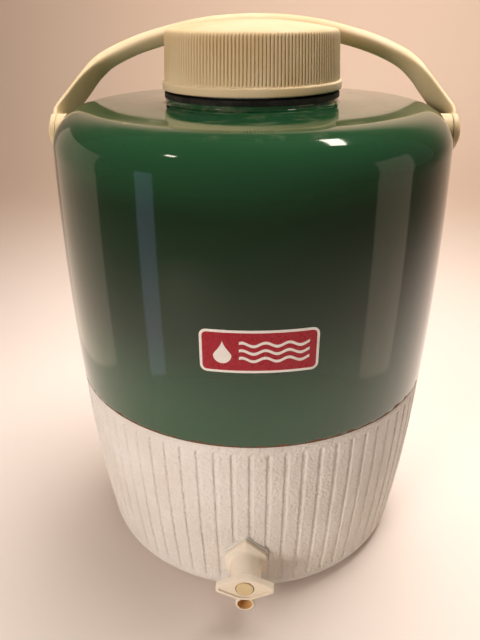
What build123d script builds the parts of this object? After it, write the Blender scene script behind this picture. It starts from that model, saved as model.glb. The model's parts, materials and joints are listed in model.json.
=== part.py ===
from build123d import *
from math import asin, cos, degrees, radians, sin, sqrt
import os

# Insulated drinks jug: a drawn steel shell over a fluted plastic base, with foam and a
# blow-moulded tank inside, a screw lid, a bail handle and a push-button faucet.
# Millimetres, +Z up, origin at the middle of the flat underside, faucet on the -Y side.

# ---------------------------------------------------------------- driving dimensions
# Steel shell
body_r = 125.0
shell_wall = 0.9
seam_z = 137.4
shoulder_z = 290.0
barrel = 1.6
shoulder_r = 23.0
crown_rise = 1.4
collar_r = 54.0
collar_h = 3.0
collar_fillet = 2.5

# Base cup
base_wall = 3.0
base_low_r = 115.5
base_corner_r = 16.0
base_belly = 1.9
seam_step = 0.3
tuck_h = 14.0
foot_ring_in = 42.0
foot_ring_out = 88.0
foot_ring_depth = 1.6
groove_count = 72
groove_arc_deg = 1.7
groove_depth = 1.0
groove_phase_deg = 1.5
groove_top_gap = 5.5

# Tank inside
tank_r = 101.0
tank_wall = 2.4
tank_floor_gap = 14.0
tank_cone_h = 12.0
tank_shoulder_drop = 10.0
neck_r = 45.0
neck_wall = 2.8
tank_pad_r = 16.5
tank_pad_sink = 2.1
ring_low_drop = 6.0
ring_lip = 0.7
ring_round = 1.0
ring_stand = 3.1
neck_top_z = 347.8
tank_bend_r = 8.0

# Screw thread between neck and lid
thread_pitch = 8.0
thread_turns = 1.5
thread_start_z = 329.0
thread_depth = 1.9
thread_root_w = 3.2
thread_crest_w = 1.4
thread_play = 2.4

# Lid
lid_rim_r = 55.7
lid_rim_h = 5.0
lid_skirt_r = 54.3
lid_top_r = 52.8
lid_wall = 2.3
lid_corner_r = 3.4
lid_seat_gap = 1.4
lid_height = 33.5
lid_dome = 5.1
lid_rim_round = 1.0
lid_roof_drop = 0.2
plug_setup = 2.5
plug_wall = 2.4
plug_disc = 2.2
thread_gap = 0.8
gasket_t = 1.8
gasket_overhang = 1.7

# Handle and its pivots
pivot_z = 295.0
lean_deg = 50.0
strap_t = 3.0
strap_w = 20.0
hub_t = 3.5
hub_r = 11.5
grip_t = 10.0
grip_w = 12.0
grip_reach = 97.0
pivot_pad_t = 0.6
pivot_pad_r = 11.0
pivot_shaft_r = 5.0
pivot_cap_r = 8.0
pivot_cap_t = 1.5
pivot_screw_r = 2.0
pivot_head_r = 3.6
pivot_head_t = 0.9
plate_w = 26.0
plate_h = 22.0
plate_t = 1.6
plate_drop = 6.0
pocket_depth = 4.0
plate_corner_r = 4.0
pivot_cap_round = 1.0
screw_slot_w = 0.9
screw_slot_t = 0.5
screw_tail = 1.5
strap_share = 0.36
grip_share = 0.74
section_round = 0.38

# Faucet, about an axis that runs along -Y
faucet_z = 42.0
faucet_pad_y = 121.0
gasket_sheet = 0.8
flange_half_w = 13.5
flange_half_h = 19.0
flange_side_h = 6.2
flange_t = 3.5
flange_corner_r = 1.2
pad_margin = 1.0
shank_r = 9.0
shank_bore_r = 5.5
barrel_r = 10.0
barrel_len = 16.0
seat_wall = 3.0
seat_orifice_r = 3.4
seat_setback = 2.0
chamber_r = 7.0
spout_drop = 15.2
spout_r = 6.0
spout_bore_r = 4.6
spout_len = 15.0
spout_setback = 1.6
drain_r = 3.0
spout_web_r = 5.0
wing_half_w = 18.3
wing_half_h = 9.2
wing_tip_h = 2.2
wing_flat = 4.0
wing_t = 4.2
wing_rim = 2.0
wing_recess = 1.0
pip_x = 13.8
pip_r = 0.6
pip_depth = 0.5
wing_round = 0.8
wing_corner_r = 1.0
button_r = 5.5
button_gap = 0.5
button_sink = 0.4
button_round = 0.6
stem_socket = 4.5
hub_len = 5.0
o_ring_w = 1.8
o_ring_depth = 1.3
o_ring_round = 0.5
stem_r = 1.75
stem_head_r = 2.8
stem_head_t = 1.5
seal_r = 4.9
seal_t = 3.0
spring_wire_r = 0.45
spring_turns = 7
spring_mean_r = 5.2
nut_across = 28.0
nut_t = 6.0
washer_r = 15.0
washer_t = 2.0
nut_tail = 2.0
button_travel = 5.0

# Front label
label_w = 65.0
label_h = 26.0
label_corner_r = 4.0
label_t = 0.3
label_z = 203.0
label_turn_deg = 3.5

# Named clearances
fit = 0.2            # between parts that stay together
running = 0.05       # radial, shaft in hole
free_gap = 0.3       # between parts that move past each other
touch = 0.1          # sealing faces at rest
snug = 0.1           # steel over plastic at the seam
glue = 0.05          # label off the shell
shank_gap = 0.4      # round the faucet's shank, in the walls it passes
thread_bite = 0.3    # thread ridge sunk into its own wall

# ---------------------------------------------------------------- derived values
shell_in_r = body_r - shell_wall
top_flat_r = body_r - shoulder_r
crown_z = shoulder_z + shoulder_r
tuck_r = shell_in_r - snug
base_top_r = body_r - seam_step
belly_r = (base_top_r + base_low_r) / 2 + base_belly
belly_z = (seam_z + base_corner_r) / 2
tank_floor_z = base_wall + tank_floor_gap
tank_top_z = crown_z - tank_shoulder_drop
lid_bottom_z = crown_z + crown_rise + collar_h + ring_stand + lid_seat_gap
lid_corner_z = lid_bottom_z + lid_height
plug_in_r = neck_r + thread_depth + thread_gap
plug_out_r = plug_in_r + plug_wall
cap_in_r = plug_out_r + fit
gasket_z = neck_top_z + touch
plug_disc_z = gasket_z + gasket_t + touch
ring_top_z = lid_bottom_z - lid_seat_gap
collar_top_z = crown_z + crown_rise + collar_h
ring_low_z = crown_z + crown_rise - ring_low_drop
plug_low_z = lid_bottom_z + plug_setup
cap_roof_z = lid_corner_z - lid_wall - lid_roof_drop

pad_face_x = body_r + pivot_pad_t
hub_in_x = pad_face_x + free_gap
strap_mid_x = hub_in_x + hub_t / 2
cap_in_x = hub_in_x + hub_t + free_gap
screw_tip_x = shell_in_r - snug - plate_t - screw_tail

flange_y = faucet_pad_y + gasket_sheet
barrel_y = flange_y + flange_t + barrel_len
wing_y = barrel_y + wing_t
seat_y = flange_y - seat_setback
seat_back_y = seat_y - seat_wall
tank_pad_y = tank_r - tank_wall - tank_pad_sink
nut_y = tank_pad_y - washer_t
shank_end_y = nut_y - nut_t - nut_tail
spout_z = faucet_z - spout_drop
spout_y = wing_y - spout_setback
drain_y = spout_y - spout_len + drain_r / 2
hub_front_y = barrel_y - free_gap
hub_back_y = hub_front_y - hub_len


def shell_outline(inset):
    """Half section of everything inside the shell's outer face, moved in by inset."""
    with BuildSketch(Plane.XZ) as outline:
        with BuildLine():
            crown = crown_z + crown_rise - inset
            Line((0, seam_z), (body_r - inset, seam_z))
            middle = (body_r + barrel - inset, (seam_z + shoulder_z) / 2)
            ThreePointArc((body_r - inset, seam_z), middle, (body_r - inset, shoulder_z))
            CenterArc((top_flat_r, shoulder_z), shoulder_r - inset, 0, 90)
            Line((top_flat_r, crown_z - inset), (collar_r, crown))
            Line((collar_r, crown), (0, crown))
            Line((0, crown), (0, seam_z))
        make_face()
    return outline.sketch


def base_outline(inset):
    """Half section of everything inside the base cup's outer face, moved in by inset."""
    with BuildSketch(Plane.XZ) as outline:
        with BuildLine():
            Line((0, seam_z), (0, inset))
            Line((0, inset), (base_low_r - base_corner_r, inset))
            CenterArc((base_low_r - base_corner_r, base_corner_r), base_corner_r - inset, -90, 90)
            base_side(inset)
            Line((base_top_r - inset, seam_z), (0, seam_z))
        make_face()
    return outline.sketch


def base_side(inset):
    """The base cup's bellied side, moved in by inset."""
    start = (base_low_r - inset, base_corner_r)
    return ThreePointArc(start, (belly_r - inset, belly_z), (base_top_r - inset, seam_z))


def tank_outline(grow):
    """Half section of the tank's outside, moved out by grow all along its wall."""
    cone = tank_cone_h / (tank_r - neck_r)
    rise = grow * (sqrt(1 + cone**2) - cone)
    with BuildSketch(Plane.XZ) as outline:
        with BuildLine():
            FilletPolyline(
                (0, tank_floor_z - grow),
                (tank_r + grow, tank_floor_z - grow),
                (tank_r + grow, tank_top_z - tank_cone_h + rise),
                (neck_r + grow, tank_top_z + rise),
                (neck_r + grow, neck_top_z),
                radius=[tank_bend_r + grow, tank_bend_r + grow, tank_bend_r - grow],
            )
            Line((neck_r + grow, neck_top_z), (0, neck_top_z))
            Line((0, neck_top_z), (0, tank_floor_z - grow))
        make_face()
    return outline.sketch


def dome(edge_r, edge_z, rise):
    """Arc from a rim at edge_r up to the axis, level where it meets it."""
    big_r = (edge_r**2 + rise**2) / (2 * rise)
    half = degrees(asin(edge_r / big_r))
    return CenterArc((0, edge_z + rise - big_r), big_r, 90 - half, half)


def flange_shape(grow):
    """The faucet flange's tall six-sided outline, grown all round."""
    half_w = flange_half_w + grow
    half_h = flange_half_h + grow
    with BuildSketch() as shape:
        Polygon(
            (half_w, flange_side_h),
            (0, half_h),
            (-half_w, flange_side_h),
            (-half_w, -flange_side_h),
            (0, -half_h),
            (half_w, -flange_side_h),
        )
        fillet(shape.vertices(), flange_corner_r)
    return shape.sketch


def wing_shape(inset):
    """The finger plate's long eight-sided outline, moved in by inset."""
    half_w = wing_half_w - inset
    half_h = wing_half_h - inset
    with BuildSketch() as shape:
        with BuildLine():
            right = Polyline(
                (wing_flat, half_h),
                (half_w, wing_tip_h),
                (half_w, -wing_tip_h),
                (wing_flat, -half_h),
            )
            left = Polyline(
                (-wing_flat, -half_h),
                (-half_w, -wing_tip_h),
                (-half_w, wing_tip_h),
                (-wing_flat, half_h),
            )
            Line(right @ 1, left @ 0)
            Line(left @ 1, right @ 0)
        make_face()
        fillet(shape.vertices(), wing_corner_r)
    return shape.sketch


def front(y):
    """Sketch plane across the faucet's axis, y in front of the jug's own axis."""
    return Plane(origin=(0, -y, faucet_z), x_dir=(1, 0, 0), z_dir=(0, -1, 0))


def thread_ridge(wall_r, depth, start_z):
    """Helix and trapezoid plane values of one thread ridge standing depth off wall_r."""
    ridge = Helix(
        thread_pitch,
        thread_pitch * thread_turns,
        wall_r + depth / 2,
        center=(0, 0, start_z),
        mode=Mode.PRIVATE,
    )
    section = Plane(origin=ridge @ 0, x_dir=(1, 0, 0), z_dir=ridge % 0)
    root_x = -depth / 2 - thread_bite * (1 if depth > 0 else -1)
    with BuildSketch(section) as profile:
        Polygon(
            (root_x, -thread_root_w / 2),
            (depth / 2, -thread_crest_w / 2),
            (depth / 2, thread_crest_w / 2),
            (root_x, thread_root_w / 2),
            align=None,
        )
    return ridge, profile.sketch


def save(part, name):
    """Label a finished piece and write its STEP file."""
    part.label = name
    export_step(part, f"parts/{name}.step")


os.makedirs("parts", exist_ok=True)

# ---------------------------------------------------------------- shapes cut from
shell_full = shell_outline(0)
shell_void = shell_outline(shell_wall)
with BuildPart() as shell_body:
    revolve(shell_full, axis=Axis.Z)

# ---------------------------------------------------------------- steel shell
with BuildPart() as outer_shell:
    revolve(shell_full, axis=Axis.Z)
    with BuildSketch(Plane.XY.offset(crown_z)):
        Circle(collar_r)
    extrude(amount=crown_rise + collar_h)
    collar_foot_z = crown_z + crown_rise
    collar_foot = outer_shell.edges().filter_by(lambda rim: abs(rim.center().Z - collar_foot_z) < 0.01)
    fillet(collar_foot, collar_fillet)
    revolve(shell_void, axis=Axis.Z, mode=Mode.SUBTRACT)
    with BuildSketch(Plane.XY.offset(crown_z - shoulder_r)):
        Circle(collar_r - shell_wall)
    extrude(amount=shoulder_r + crown_rise + collar_h, mode=Mode.SUBTRACT)
    for sign in (-1, 1):
        with BuildSketch(Plane(origin=(sign * top_flat_r, 0, pivot_z), z_dir=(sign, 0, 0))):
            Circle(pivot_screw_r + running)
        extrude(amount=body_r, mode=Mode.SUBTRACT)
save(outer_shell.part, "outer_shell")

# ---------------------------------------------------------------- base cup
base_full = base_outline(0)
base_void = base_outline(base_wall)
with BuildSketch(Plane.XZ) as groove_band:
    with BuildLine():
        base_side(groove_depth)
        Line((base_top_r - groove_depth, seam_z), (body_r + 5, seam_z))
        Line((body_r + 5, seam_z), (body_r + 5, base_corner_r))
        Line((body_r + 5, base_corner_r), (base_low_r - groove_depth, base_corner_r))
    make_face()
with BuildPart() as groove_cutter:
    revolve(groove_band.sketch, axis=Axis.Z, revolution_arc=groove_arc_deg)
    with BuildSketch(Plane.XY.offset(seam_z - groove_top_gap)):
        Rectangle(4 * body_r, 4 * body_r)
    extrude(amount=groove_top_gap, mode=Mode.SUBTRACT)

with BuildPart() as base_cup:
    revolve(base_full, axis=Axis.Z)
    first_groove_deg = -90 + groove_phase_deg - groove_arc_deg / 2
    with PolarLocations(0, groove_count, start_angle=first_groove_deg):
        add(groove_cutter.part, mode=Mode.SUBTRACT)
    with BuildSketch(front(faucet_pad_y)):
        add(flange_shape(pad_margin))
    extrude(amount=-(faucet_pad_y - base_low_r + base_wall))
    revolve(base_void, axis=Axis.Z, mode=Mode.SUBTRACT)
    with BuildSketch(Plane.XY.offset(seam_z - base_wall)):
        Circle(tuck_r)
        Circle(tuck_r - base_wall, mode=Mode.SUBTRACT)
    extrude(amount=base_wall + tuck_h)
    with BuildSketch():
        Circle(foot_ring_out)
        Circle(foot_ring_in, mode=Mode.SUBTRACT)
    extrude(amount=foot_ring_depth, mode=Mode.SUBTRACT)
    with BuildSketch(front(tank_r)):
        Circle(shank_r + shank_gap)
    extrude(amount=faucet_pad_y - tank_r, mode=Mode.SUBTRACT)
save(base_cup.part, "base_cup")

# ---------------------------------------------------------------- tank
tank_full = tank_outline(0)
tank_void = tank_outline(-tank_wall)
neck_ridge, neck_profile = thread_ridge(neck_r, thread_depth, thread_start_z)
with BuildPart() as inner_tank:
    revolve(tank_full, axis=Axis.Z)
    revolve(tank_void, axis=Axis.Z, mode=Mode.SUBTRACT)
    with BuildSketch(Plane.XY.offset(tank_top_z)):
        Circle(neck_r - neck_wall)
    extrude(amount=neck_top_z - tank_top_z, mode=Mode.SUBTRACT)
    with BuildSketch(front(tank_pad_y)):
        Circle(tank_pad_r)
    extrude(amount=tank_r - tank_pad_y - tank_wall / 2)
    with BuildSketch(front(tank_pad_y)):
        Circle(shank_r + shank_gap)
    extrude(amount=tank_r, mode=Mode.SUBTRACT)
    sweep(neck_profile, path=neck_ridge, is_frenet=True)
save(inner_tank.part, "inner_tank")

# ---------------------------------------------------------------- ring between shell and neck
with BuildPart() as neck_ring:
    with BuildSketch(Plane.XY.offset(ring_low_z)):
        Circle(collar_r - shell_wall - fit)
    extrude(amount=ring_top_z - ring_low_z)
    with BuildSketch(Plane.XY.offset(collar_top_z + touch)):
        Circle(collar_r + ring_lip)
    extrude(amount=ring_top_z - collar_top_z - touch)
    fillet(neck_ring.edges().group_by(Axis.Z)[-1], ring_round)
    with BuildSketch(Plane.XY.offset(ring_low_z)):
        Circle(neck_r + fit)
    extrude(amount=ring_top_z - ring_low_z, mode=Mode.SUBTRACT)
save(neck_ring.part, "neck_ring")

# ---------------------------------------------------------------- handle pivots
with BuildPart() as shell_lining:
    revolve(shell_outline(shell_wall + snug), axis=Axis.Z)
with BuildPart() as plate_lining:
    revolve(shell_outline(shell_wall + snug + plate_t), axis=Axis.Z)

screw_hole_r = pivot_screw_r + running
cap_out_x = cap_in_x + pivot_cap_t
for side, sign in (("left", -1), ("right", 1)):
    outward = Plane(origin=(0, 0, pivot_z), x_dir=(0, sign, 0), z_dir=(sign, 0, 0))

    with BuildPart() as pivot_boss:
        with BuildSketch(outward.offset(top_flat_r)):
            Circle(pivot_pad_r)
        extrude(amount=pad_face_x - top_flat_r)
        with BuildSketch(outward.offset(pad_face_x)):
            Circle(pivot_shaft_r)
        extrude(amount=cap_in_x - pad_face_x)
        add(shell_body.part, mode=Mode.SUBTRACT)
        with BuildSketch(outward.offset(top_flat_r)):
            Circle(screw_hole_r)
        extrude(amount=cap_in_x - top_flat_r, mode=Mode.SUBTRACT)
    save(pivot_boss.part, f"{side}_pivot_boss")

    with BuildPart() as pivot_cap:
        with BuildSketch(outward.offset(cap_in_x)):
            Circle(pivot_cap_r)
        extrude(amount=pivot_cap_t)
        outer_rim = pivot_cap.faces().sort_by(Axis.X)[-1 if sign > 0 else 0].edges()
        fillet(outer_rim, pivot_cap_round)
        with BuildSketch(outward.offset(cap_out_x - pivot_head_t)):
            Circle(pivot_head_r + fit)
        extrude(amount=pivot_head_t, mode=Mode.SUBTRACT)
        with BuildSketch(outward.offset(cap_in_x)):
            Circle(screw_hole_r)
        extrude(amount=pivot_cap_t, mode=Mode.SUBTRACT)
    save(pivot_cap.part, f"{side}_pivot_cap")

    with BuildPart() as backing_plate:
        with BuildSketch(outward.offset(top_flat_r)):
            with Locations((0, -plate_drop)):
                RectangleRounded(plate_w, plate_h, plate_corner_r)
        extrude(amount=body_r - top_flat_r)
        add(shell_lining.part, mode=Mode.INTERSECT)
        add(plate_lining.part, mode=Mode.SUBTRACT)
        with BuildSketch(outward.offset(top_flat_r)):
            Circle(screw_hole_r)
        extrude(amount=body_r - top_flat_r, mode=Mode.SUBTRACT)
    save(backing_plate.part, f"{side}_backing_plate")

    with BuildPart() as pivot_screw:
        with BuildSketch(outward.offset(screw_tip_x)):
            Circle(pivot_screw_r)
        extrude(amount=cap_out_x - screw_tip_x)
        with BuildSketch(outward.offset(cap_out_x - pivot_head_t)):
            Circle(pivot_head_r)
        extrude(amount=pivot_head_t)
        with BuildSketch(outward.offset(cap_out_x - screw_slot_t)):
            Rectangle(screw_slot_w, 2 * pivot_head_r)
            Rectangle(2 * pivot_head_r, screw_slot_w)
        extrude(amount=screw_slot_t, mode=Mode.SUBTRACT)
    save(pivot_screw.part, f"{side}_pivot_screw")

# ---------------------------------------------------------------- insulation
with BuildPart() as body_insulation:
    revolve(base_outline(base_wall + fit), axis=Axis.Z)
    with BuildSketch(Plane.XY.offset(seam_z - base_wall)):
        Circle(tuck_r - base_wall - fit)
    extrude(amount=base_wall + tuck_h + fit)
    revolve(shell_outline(shell_wall + fit), axis=Axis.Z)
    with BuildSketch(Plane.XY.offset(seam_z - base_wall - fit)):
        Circle(body_r)
        Circle(tuck_r - base_wall - fit, mode=Mode.SUBTRACT)
    extrude(amount=base_wall + tuck_h + 2 * fit, mode=Mode.SUBTRACT)
    revolve(tank_outline(fit), axis=Axis.Z, mode=Mode.SUBTRACT)
    with BuildSketch(Plane.XY.offset(ring_low_z - fit)):
        Circle(collar_r)
    extrude(amount=neck_top_z - ring_low_z, mode=Mode.SUBTRACT)
    with BuildSketch(front(tank_r - tank_wall)):
        Circle(shank_r + shank_gap)
    extrude(amount=faucet_pad_y - tank_r, mode=Mode.SUBTRACT)
    for sign in (-1, 1):
        pocket = Plane(origin=(0, 0, pivot_z), x_dir=(0, sign, 0), z_dir=(sign, 0, 0))
        with BuildSketch(pocket.offset(screw_tip_x - pocket_depth)):
            with Locations((0, -plate_drop)):
                RectangleRounded(plate_w + 2 * fit, plate_h + 2 * fit, plate_corner_r)
        extrude(amount=body_r - screw_tip_x + pocket_depth, mode=Mode.SUBTRACT)
save(body_insulation.part, "body_insulation")

# ---------------------------------------------------------------- lid
plug_ridge, plug_profile = thread_ridge(plug_in_r, -thread_depth, thread_start_z - thread_play)
with BuildPart() as lid_cap:
    with BuildSketch(Plane.XZ):
        with BuildLine():
            crown_edge = lid_top_r - lid_corner_r
            Polyline(
                (cap_in_r, cap_roof_z),
                (cap_in_r, lid_bottom_z),
                (lid_rim_r, lid_bottom_z),
                (lid_rim_r, lid_bottom_z + lid_rim_h),
                (lid_skirt_r, lid_bottom_z + lid_rim_h),
                (lid_top_r, lid_corner_z - lid_corner_r),
            )
            CenterArc((crown_edge, lid_corner_z - lid_corner_r), lid_corner_r, 0, 90)
            dome(crown_edge, lid_corner_z, lid_dome)
            Line((0, lid_corner_z + lid_dome), (0, cap_roof_z + lid_dome))
            dome(cap_in_r, cap_roof_z, lid_dome)
        make_face()
    revolve(axis=Axis.Z)
    lid_circles = lid_cap.edges().filter_by(GeomType.CIRCLE)
    fillet(lid_circles.filter_by(lambda rim: rim.radius == lid_rim_r), lid_rim_round)
save(lid_cap.part, "lid_cap")

with BuildPart() as lid_plug:
    with BuildSketch(Plane.XY.offset(plug_low_z)):
        Circle(plug_out_r)
    extrude(amount=plug_disc_z + plug_disc - plug_low_z)
    with BuildSketch(Plane.XY.offset(plug_low_z)):
        Circle(plug_in_r)
    extrude(amount=plug_disc_z - plug_low_z, mode=Mode.SUBTRACT)
    sweep(plug_profile, path=plug_ridge, is_frenet=True)
save(lid_plug.part, "lid_plug")

with BuildPart() as lid_insulation:
    with BuildSketch(Plane.XZ):
        with BuildLine():
            foam_low_z = plug_disc_z + plug_disc + fit
            foam_r = cap_in_r - fit
            foam_edge_z = cap_roof_z - fit
            Polyline(
                (0, foam_edge_z + lid_dome),
                (0, foam_low_z),
                (foam_r, foam_low_z),
                (foam_r, foam_edge_z),
            )
            dome(foam_r, foam_edge_z, lid_dome)
        make_face()
    revolve(axis=Axis.Z)
save(lid_insulation.part, "lid_insulation")

with BuildPart() as lid_gasket:
    with BuildSketch(Plane.XY.offset(gasket_z)):
        Circle(neck_r + gasket_overhang)
        Circle(neck_r - neck_wall, mode=Mode.SUBTRACT)
    extrude(amount=gasket_t)
save(lid_gasket.part, "lid_gasket")

# ---------------------------------------------------------------- handle
lean = radians(lean_deg)
bail_plane = Plane(origin=(0, 0, pivot_z), x_dir=(1, 0, 0), z_dir=(0, -cos(lean), sin(lean)))
# Stations up one leg, as shares of the pivot's distance out and of the grip's reach.
leg_stations = [
    (1.0, 0.0),
    (1.0, 0.06),
    (1.0, 0.12),
    (0.97, 0.21),
    (0.935, 0.31),
    (0.895, 0.423),
    (0.85, 0.55),
    (0.77, 0.675),
    (0.59, 0.822),
    (0.3, 0.957),
]
leg = [(strap_mid_x * out, grip_reach * up) for out, up in leg_stations]
bail_points = leg + [(0, grip_reach)] + [(-x, up) for x, up in reversed(leg)]


def swell(up):
    """Share of the way from flat strap to round grip at a height up the leg."""
    share = (up / grip_reach - strap_share) / (grip_share - strap_share)
    share = min(max(share, 0), 1)
    return share * share * (3 - 2 * share)


with BuildPart() as handle:
    for index, (x, up) in enumerate(bail_points):
        before = bail_points[max(index - 1, 0)]
        after = bail_points[min(index + 1, len(bail_points) - 1)]
        along = bail_plane.x_dir * (after[0] - before[0]) + bail_plane.y_dir * (after[1] - before[1])
        middle = bail_plane.origin + bail_plane.x_dir * x + bail_plane.y_dir * up
        thick = strap_t + (grip_t - strap_t) * swell(up)
        wide = strap_w + (grip_w - strap_w) * swell(up)
        with BuildSketch(Plane(origin=middle, x_dir=bail_plane.z_dir, z_dir=along)):
            RectangleRounded(wide, thick, thick * section_round)
    loft()
    for sign in (-1, 1):
        outward = Plane(origin=(0, 0, pivot_z), x_dir=(0, sign, 0), z_dir=(sign, 0, 0))
        with BuildSketch(outward.offset(hub_in_x)):
            Circle(hub_r)
        extrude(amount=hub_t)
    for sign in (-1, 1):
        outward = Plane(origin=(0, 0, pivot_z), x_dir=(0, sign, 0), z_dir=(sign, 0, 0))
        with BuildSketch(outward.offset(pad_face_x)):
            Circle(pivot_shaft_r + running)
        extrude(amount=cap_in_x - pad_face_x, mode=Mode.SUBTRACT)
save(handle.part, "handle")

# ---------------------------------------------------------------- faucet, fixed parts
with BuildPart() as faucet_body:
    with BuildSketch(front(flange_y)):
        add(flange_shape(0))
    extrude(amount=flange_t)
    with BuildSketch(front(flange_y + flange_t)):
        Circle(barrel_r)
    extrude(amount=barrel_len)
    with BuildSketch(front(shank_end_y)):
        Circle(shank_r)
    extrude(amount=flange_y - shank_end_y)
    with BuildSketch(front(spout_y - spout_len)):
        with Locations((0, -spout_drop)):
            Circle(spout_r)
    extrude(amount=spout_len)
    with Locations((0, spout_len - spout_y, spout_z)):
        Sphere(spout_r)
    with BuildSketch(Plane.XY.offset(spout_z)):
        with Locations((0, -drain_y)):
            Circle(spout_web_r)
    extrude(amount=spout_drop)
    with BuildSketch(front(shank_end_y)):
        Circle(shank_bore_r)
    extrude(amount=seat_back_y - shank_end_y, mode=Mode.SUBTRACT)
    with BuildSketch(front(seat_back_y)):
        Circle(seat_orifice_r)
    extrude(amount=seat_wall, mode=Mode.SUBTRACT)
    with BuildSketch(front(seat_y)):
        Circle(chamber_r)
    extrude(amount=barrel_y - seat_y, mode=Mode.SUBTRACT)
    with BuildSketch(Plane.XY.offset(spout_z)):
        with Locations((0, -drain_y)):
            Circle(drain_r)
    extrude(amount=spout_drop, mode=Mode.SUBTRACT)
    with BuildSketch(front(spout_y - spout_len)):
        with Locations((0, -spout_drop)):
            Circle(spout_bore_r)
    extrude(amount=spout_len, mode=Mode.SUBTRACT)
save(faucet_body.part, "faucet_body")

with BuildPart() as faucet_finger_plate:
    with BuildSketch(front(barrel_y)):
        add(wing_shape(0))
    extrude(amount=wing_t)
    fillet(faucet_finger_plate.faces().sort_by(Axis.Y)[0].edges(), wing_round)
    with BuildSketch(front(wing_y - wing_recess)):
        add(wing_shape(wing_rim))
    extrude(amount=wing_recess, mode=Mode.SUBTRACT)
    with BuildSketch(front(barrel_y)):
        Circle(button_r + button_gap)
    extrude(amount=wing_t, mode=Mode.SUBTRACT)
    with BuildSketch(front(wing_y - wing_recess - pip_depth)):
        with Locations((-pip_x, 0), (pip_x, 0)):
            Circle(pip_r)
    extrude(amount=pip_depth, mode=Mode.SUBTRACT)
save(faucet_finger_plate.part, "faucet_finger_plate")

with BuildPart() as faucet_gasket:
    with BuildSketch(front(faucet_pad_y)):
        add(flange_shape(0))
        Circle(shank_r + fit, mode=Mode.SUBTRACT)
    extrude(amount=gasket_sheet)
save(faucet_gasket.part, "faucet_gasket")

with BuildPart() as faucet_washer:
    with BuildSketch(front(nut_y)):
        Circle(washer_r)
        Circle(shank_r + fit, mode=Mode.SUBTRACT)
    extrude(amount=washer_t)
save(faucet_washer.part, "faucet_washer")

with BuildPart() as faucet_nut:
    with BuildSketch(front(nut_y - nut_t)):
        RegularPolygon(nut_across / 2, 6, major_radius=False)
        Circle(shank_r + running, mode=Mode.SUBTRACT)
    extrude(amount=nut_t)
save(faucet_nut.part, "faucet_nut")

# ---------------------------------------------------------------- faucet, moving parts
o_ring_front_y = hub_front_y - (hub_len - o_ring_w) / 2
with BuildPart() as faucet_button:
    with BuildSketch(front(hub_back_y)):
        Circle(chamber_r - running)
    extrude(amount=hub_len)
    with BuildSketch(front(hub_front_y)):
        Circle(button_r)
    extrude(amount=wing_y - button_sink - hub_front_y)
    fillet(faucet_button.faces().sort_by(Axis.Y)[0].edges(), button_round)
    with BuildSketch(front(o_ring_front_y - o_ring_w)):
        Circle(chamber_r)
        Circle(chamber_r - o_ring_depth, mode=Mode.SUBTRACT)
    extrude(amount=o_ring_w, mode=Mode.SUBTRACT)
    with BuildSketch(front(hub_back_y)):
        Circle(stem_r)
    extrude(amount=stem_socket, mode=Mode.SUBTRACT)
save(faucet_button.part, "faucet_button")

with BuildPart() as button_o_ring:
    with BuildSketch(front(o_ring_front_y - o_ring_w)):
        Circle(chamber_r - running)
        Circle(chamber_r - o_ring_depth, mode=Mode.SUBTRACT)
    extrude(amount=o_ring_w)
    fillet(button_o_ring.edges().filter_by(GeomType.CIRCLE).group_by(SortBy.RADIUS)[-1], o_ring_round)
save(button_o_ring.part, "button_o_ring")

seal_front_y = seat_back_y - touch
stem_end_y = seal_front_y - seal_t - stem_head_t
with BuildPart() as valve_stem:
    with BuildSketch(front(stem_end_y)):
        Circle(stem_head_r)
    extrude(amount=stem_head_t)
    with BuildSketch(front(stem_end_y)):
        Circle(stem_r)
    extrude(amount=hub_back_y + stem_socket - stem_end_y)
save(valve_stem.part, "valve_stem")

with BuildPart() as valve_seal:
    with BuildSketch(front(seal_front_y - seal_t)):
        Circle(seal_r)
        Circle(stem_r, mode=Mode.SUBTRACT)
    extrude(amount=seal_t)
save(valve_seal.part, "valve_seal")

coil_start_y = seat_y + spring_wire_r + running
coil_len = hub_back_y - seat_y - 2 * (spring_wire_r + running)
coil = Helix(
    coil_len / spring_turns,
    coil_len,
    spring_mean_r,
    center=(0, -coil_start_y, faucet_z),
    direction=(0, -1, 0),
)
with BuildPart() as return_spring:
    with BuildSketch(Plane(origin=coil @ 0, z_dir=coil % 0)):
        Circle(spring_wire_r)
    sweep(path=coil, is_frenet=True)
save(return_spring.part, "return_spring")

# ---------------------------------------------------------------- label
turn = radians(label_turn_deg)
label_plane = Plane(
    origin=(0, 0, label_z),
    x_dir=(cos(turn), sin(turn), 0),
    z_dir=(sin(turn), -cos(turn), 0),
)
label_back = shell_outline(-glue)
label_face = shell_outline(-glue - label_t)
with BuildPart() as front_label:
    with BuildSketch(label_plane.offset(body_r - label_w / 4)):
        RectangleRounded(2 * body_r * sin(label_w / 2 / body_r), label_h, label_corner_r)
    extrude(amount=label_w / 4 + label_t + barrel + 1)
    revolve(label_face, axis=Axis.Z, mode=Mode.INTERSECT)
    revolve(label_back, axis=Axis.Z, mode=Mode.SUBTRACT)
save(front_label.part, "front_label")
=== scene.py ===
"""Looks of a two-gallon insulated drinks jug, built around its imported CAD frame.

Sizes are written in millimetres, as on a drawing, and each mesh is brought to metres
when it is handed over as a piece.
"""

import json
import logging
import math
from collections.abc import Callable, Iterable
from dataclasses import dataclass
from enum import Enum
from typing import Any

import bmesh
import bpy
from mathutils import Matrix, Vector

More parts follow.
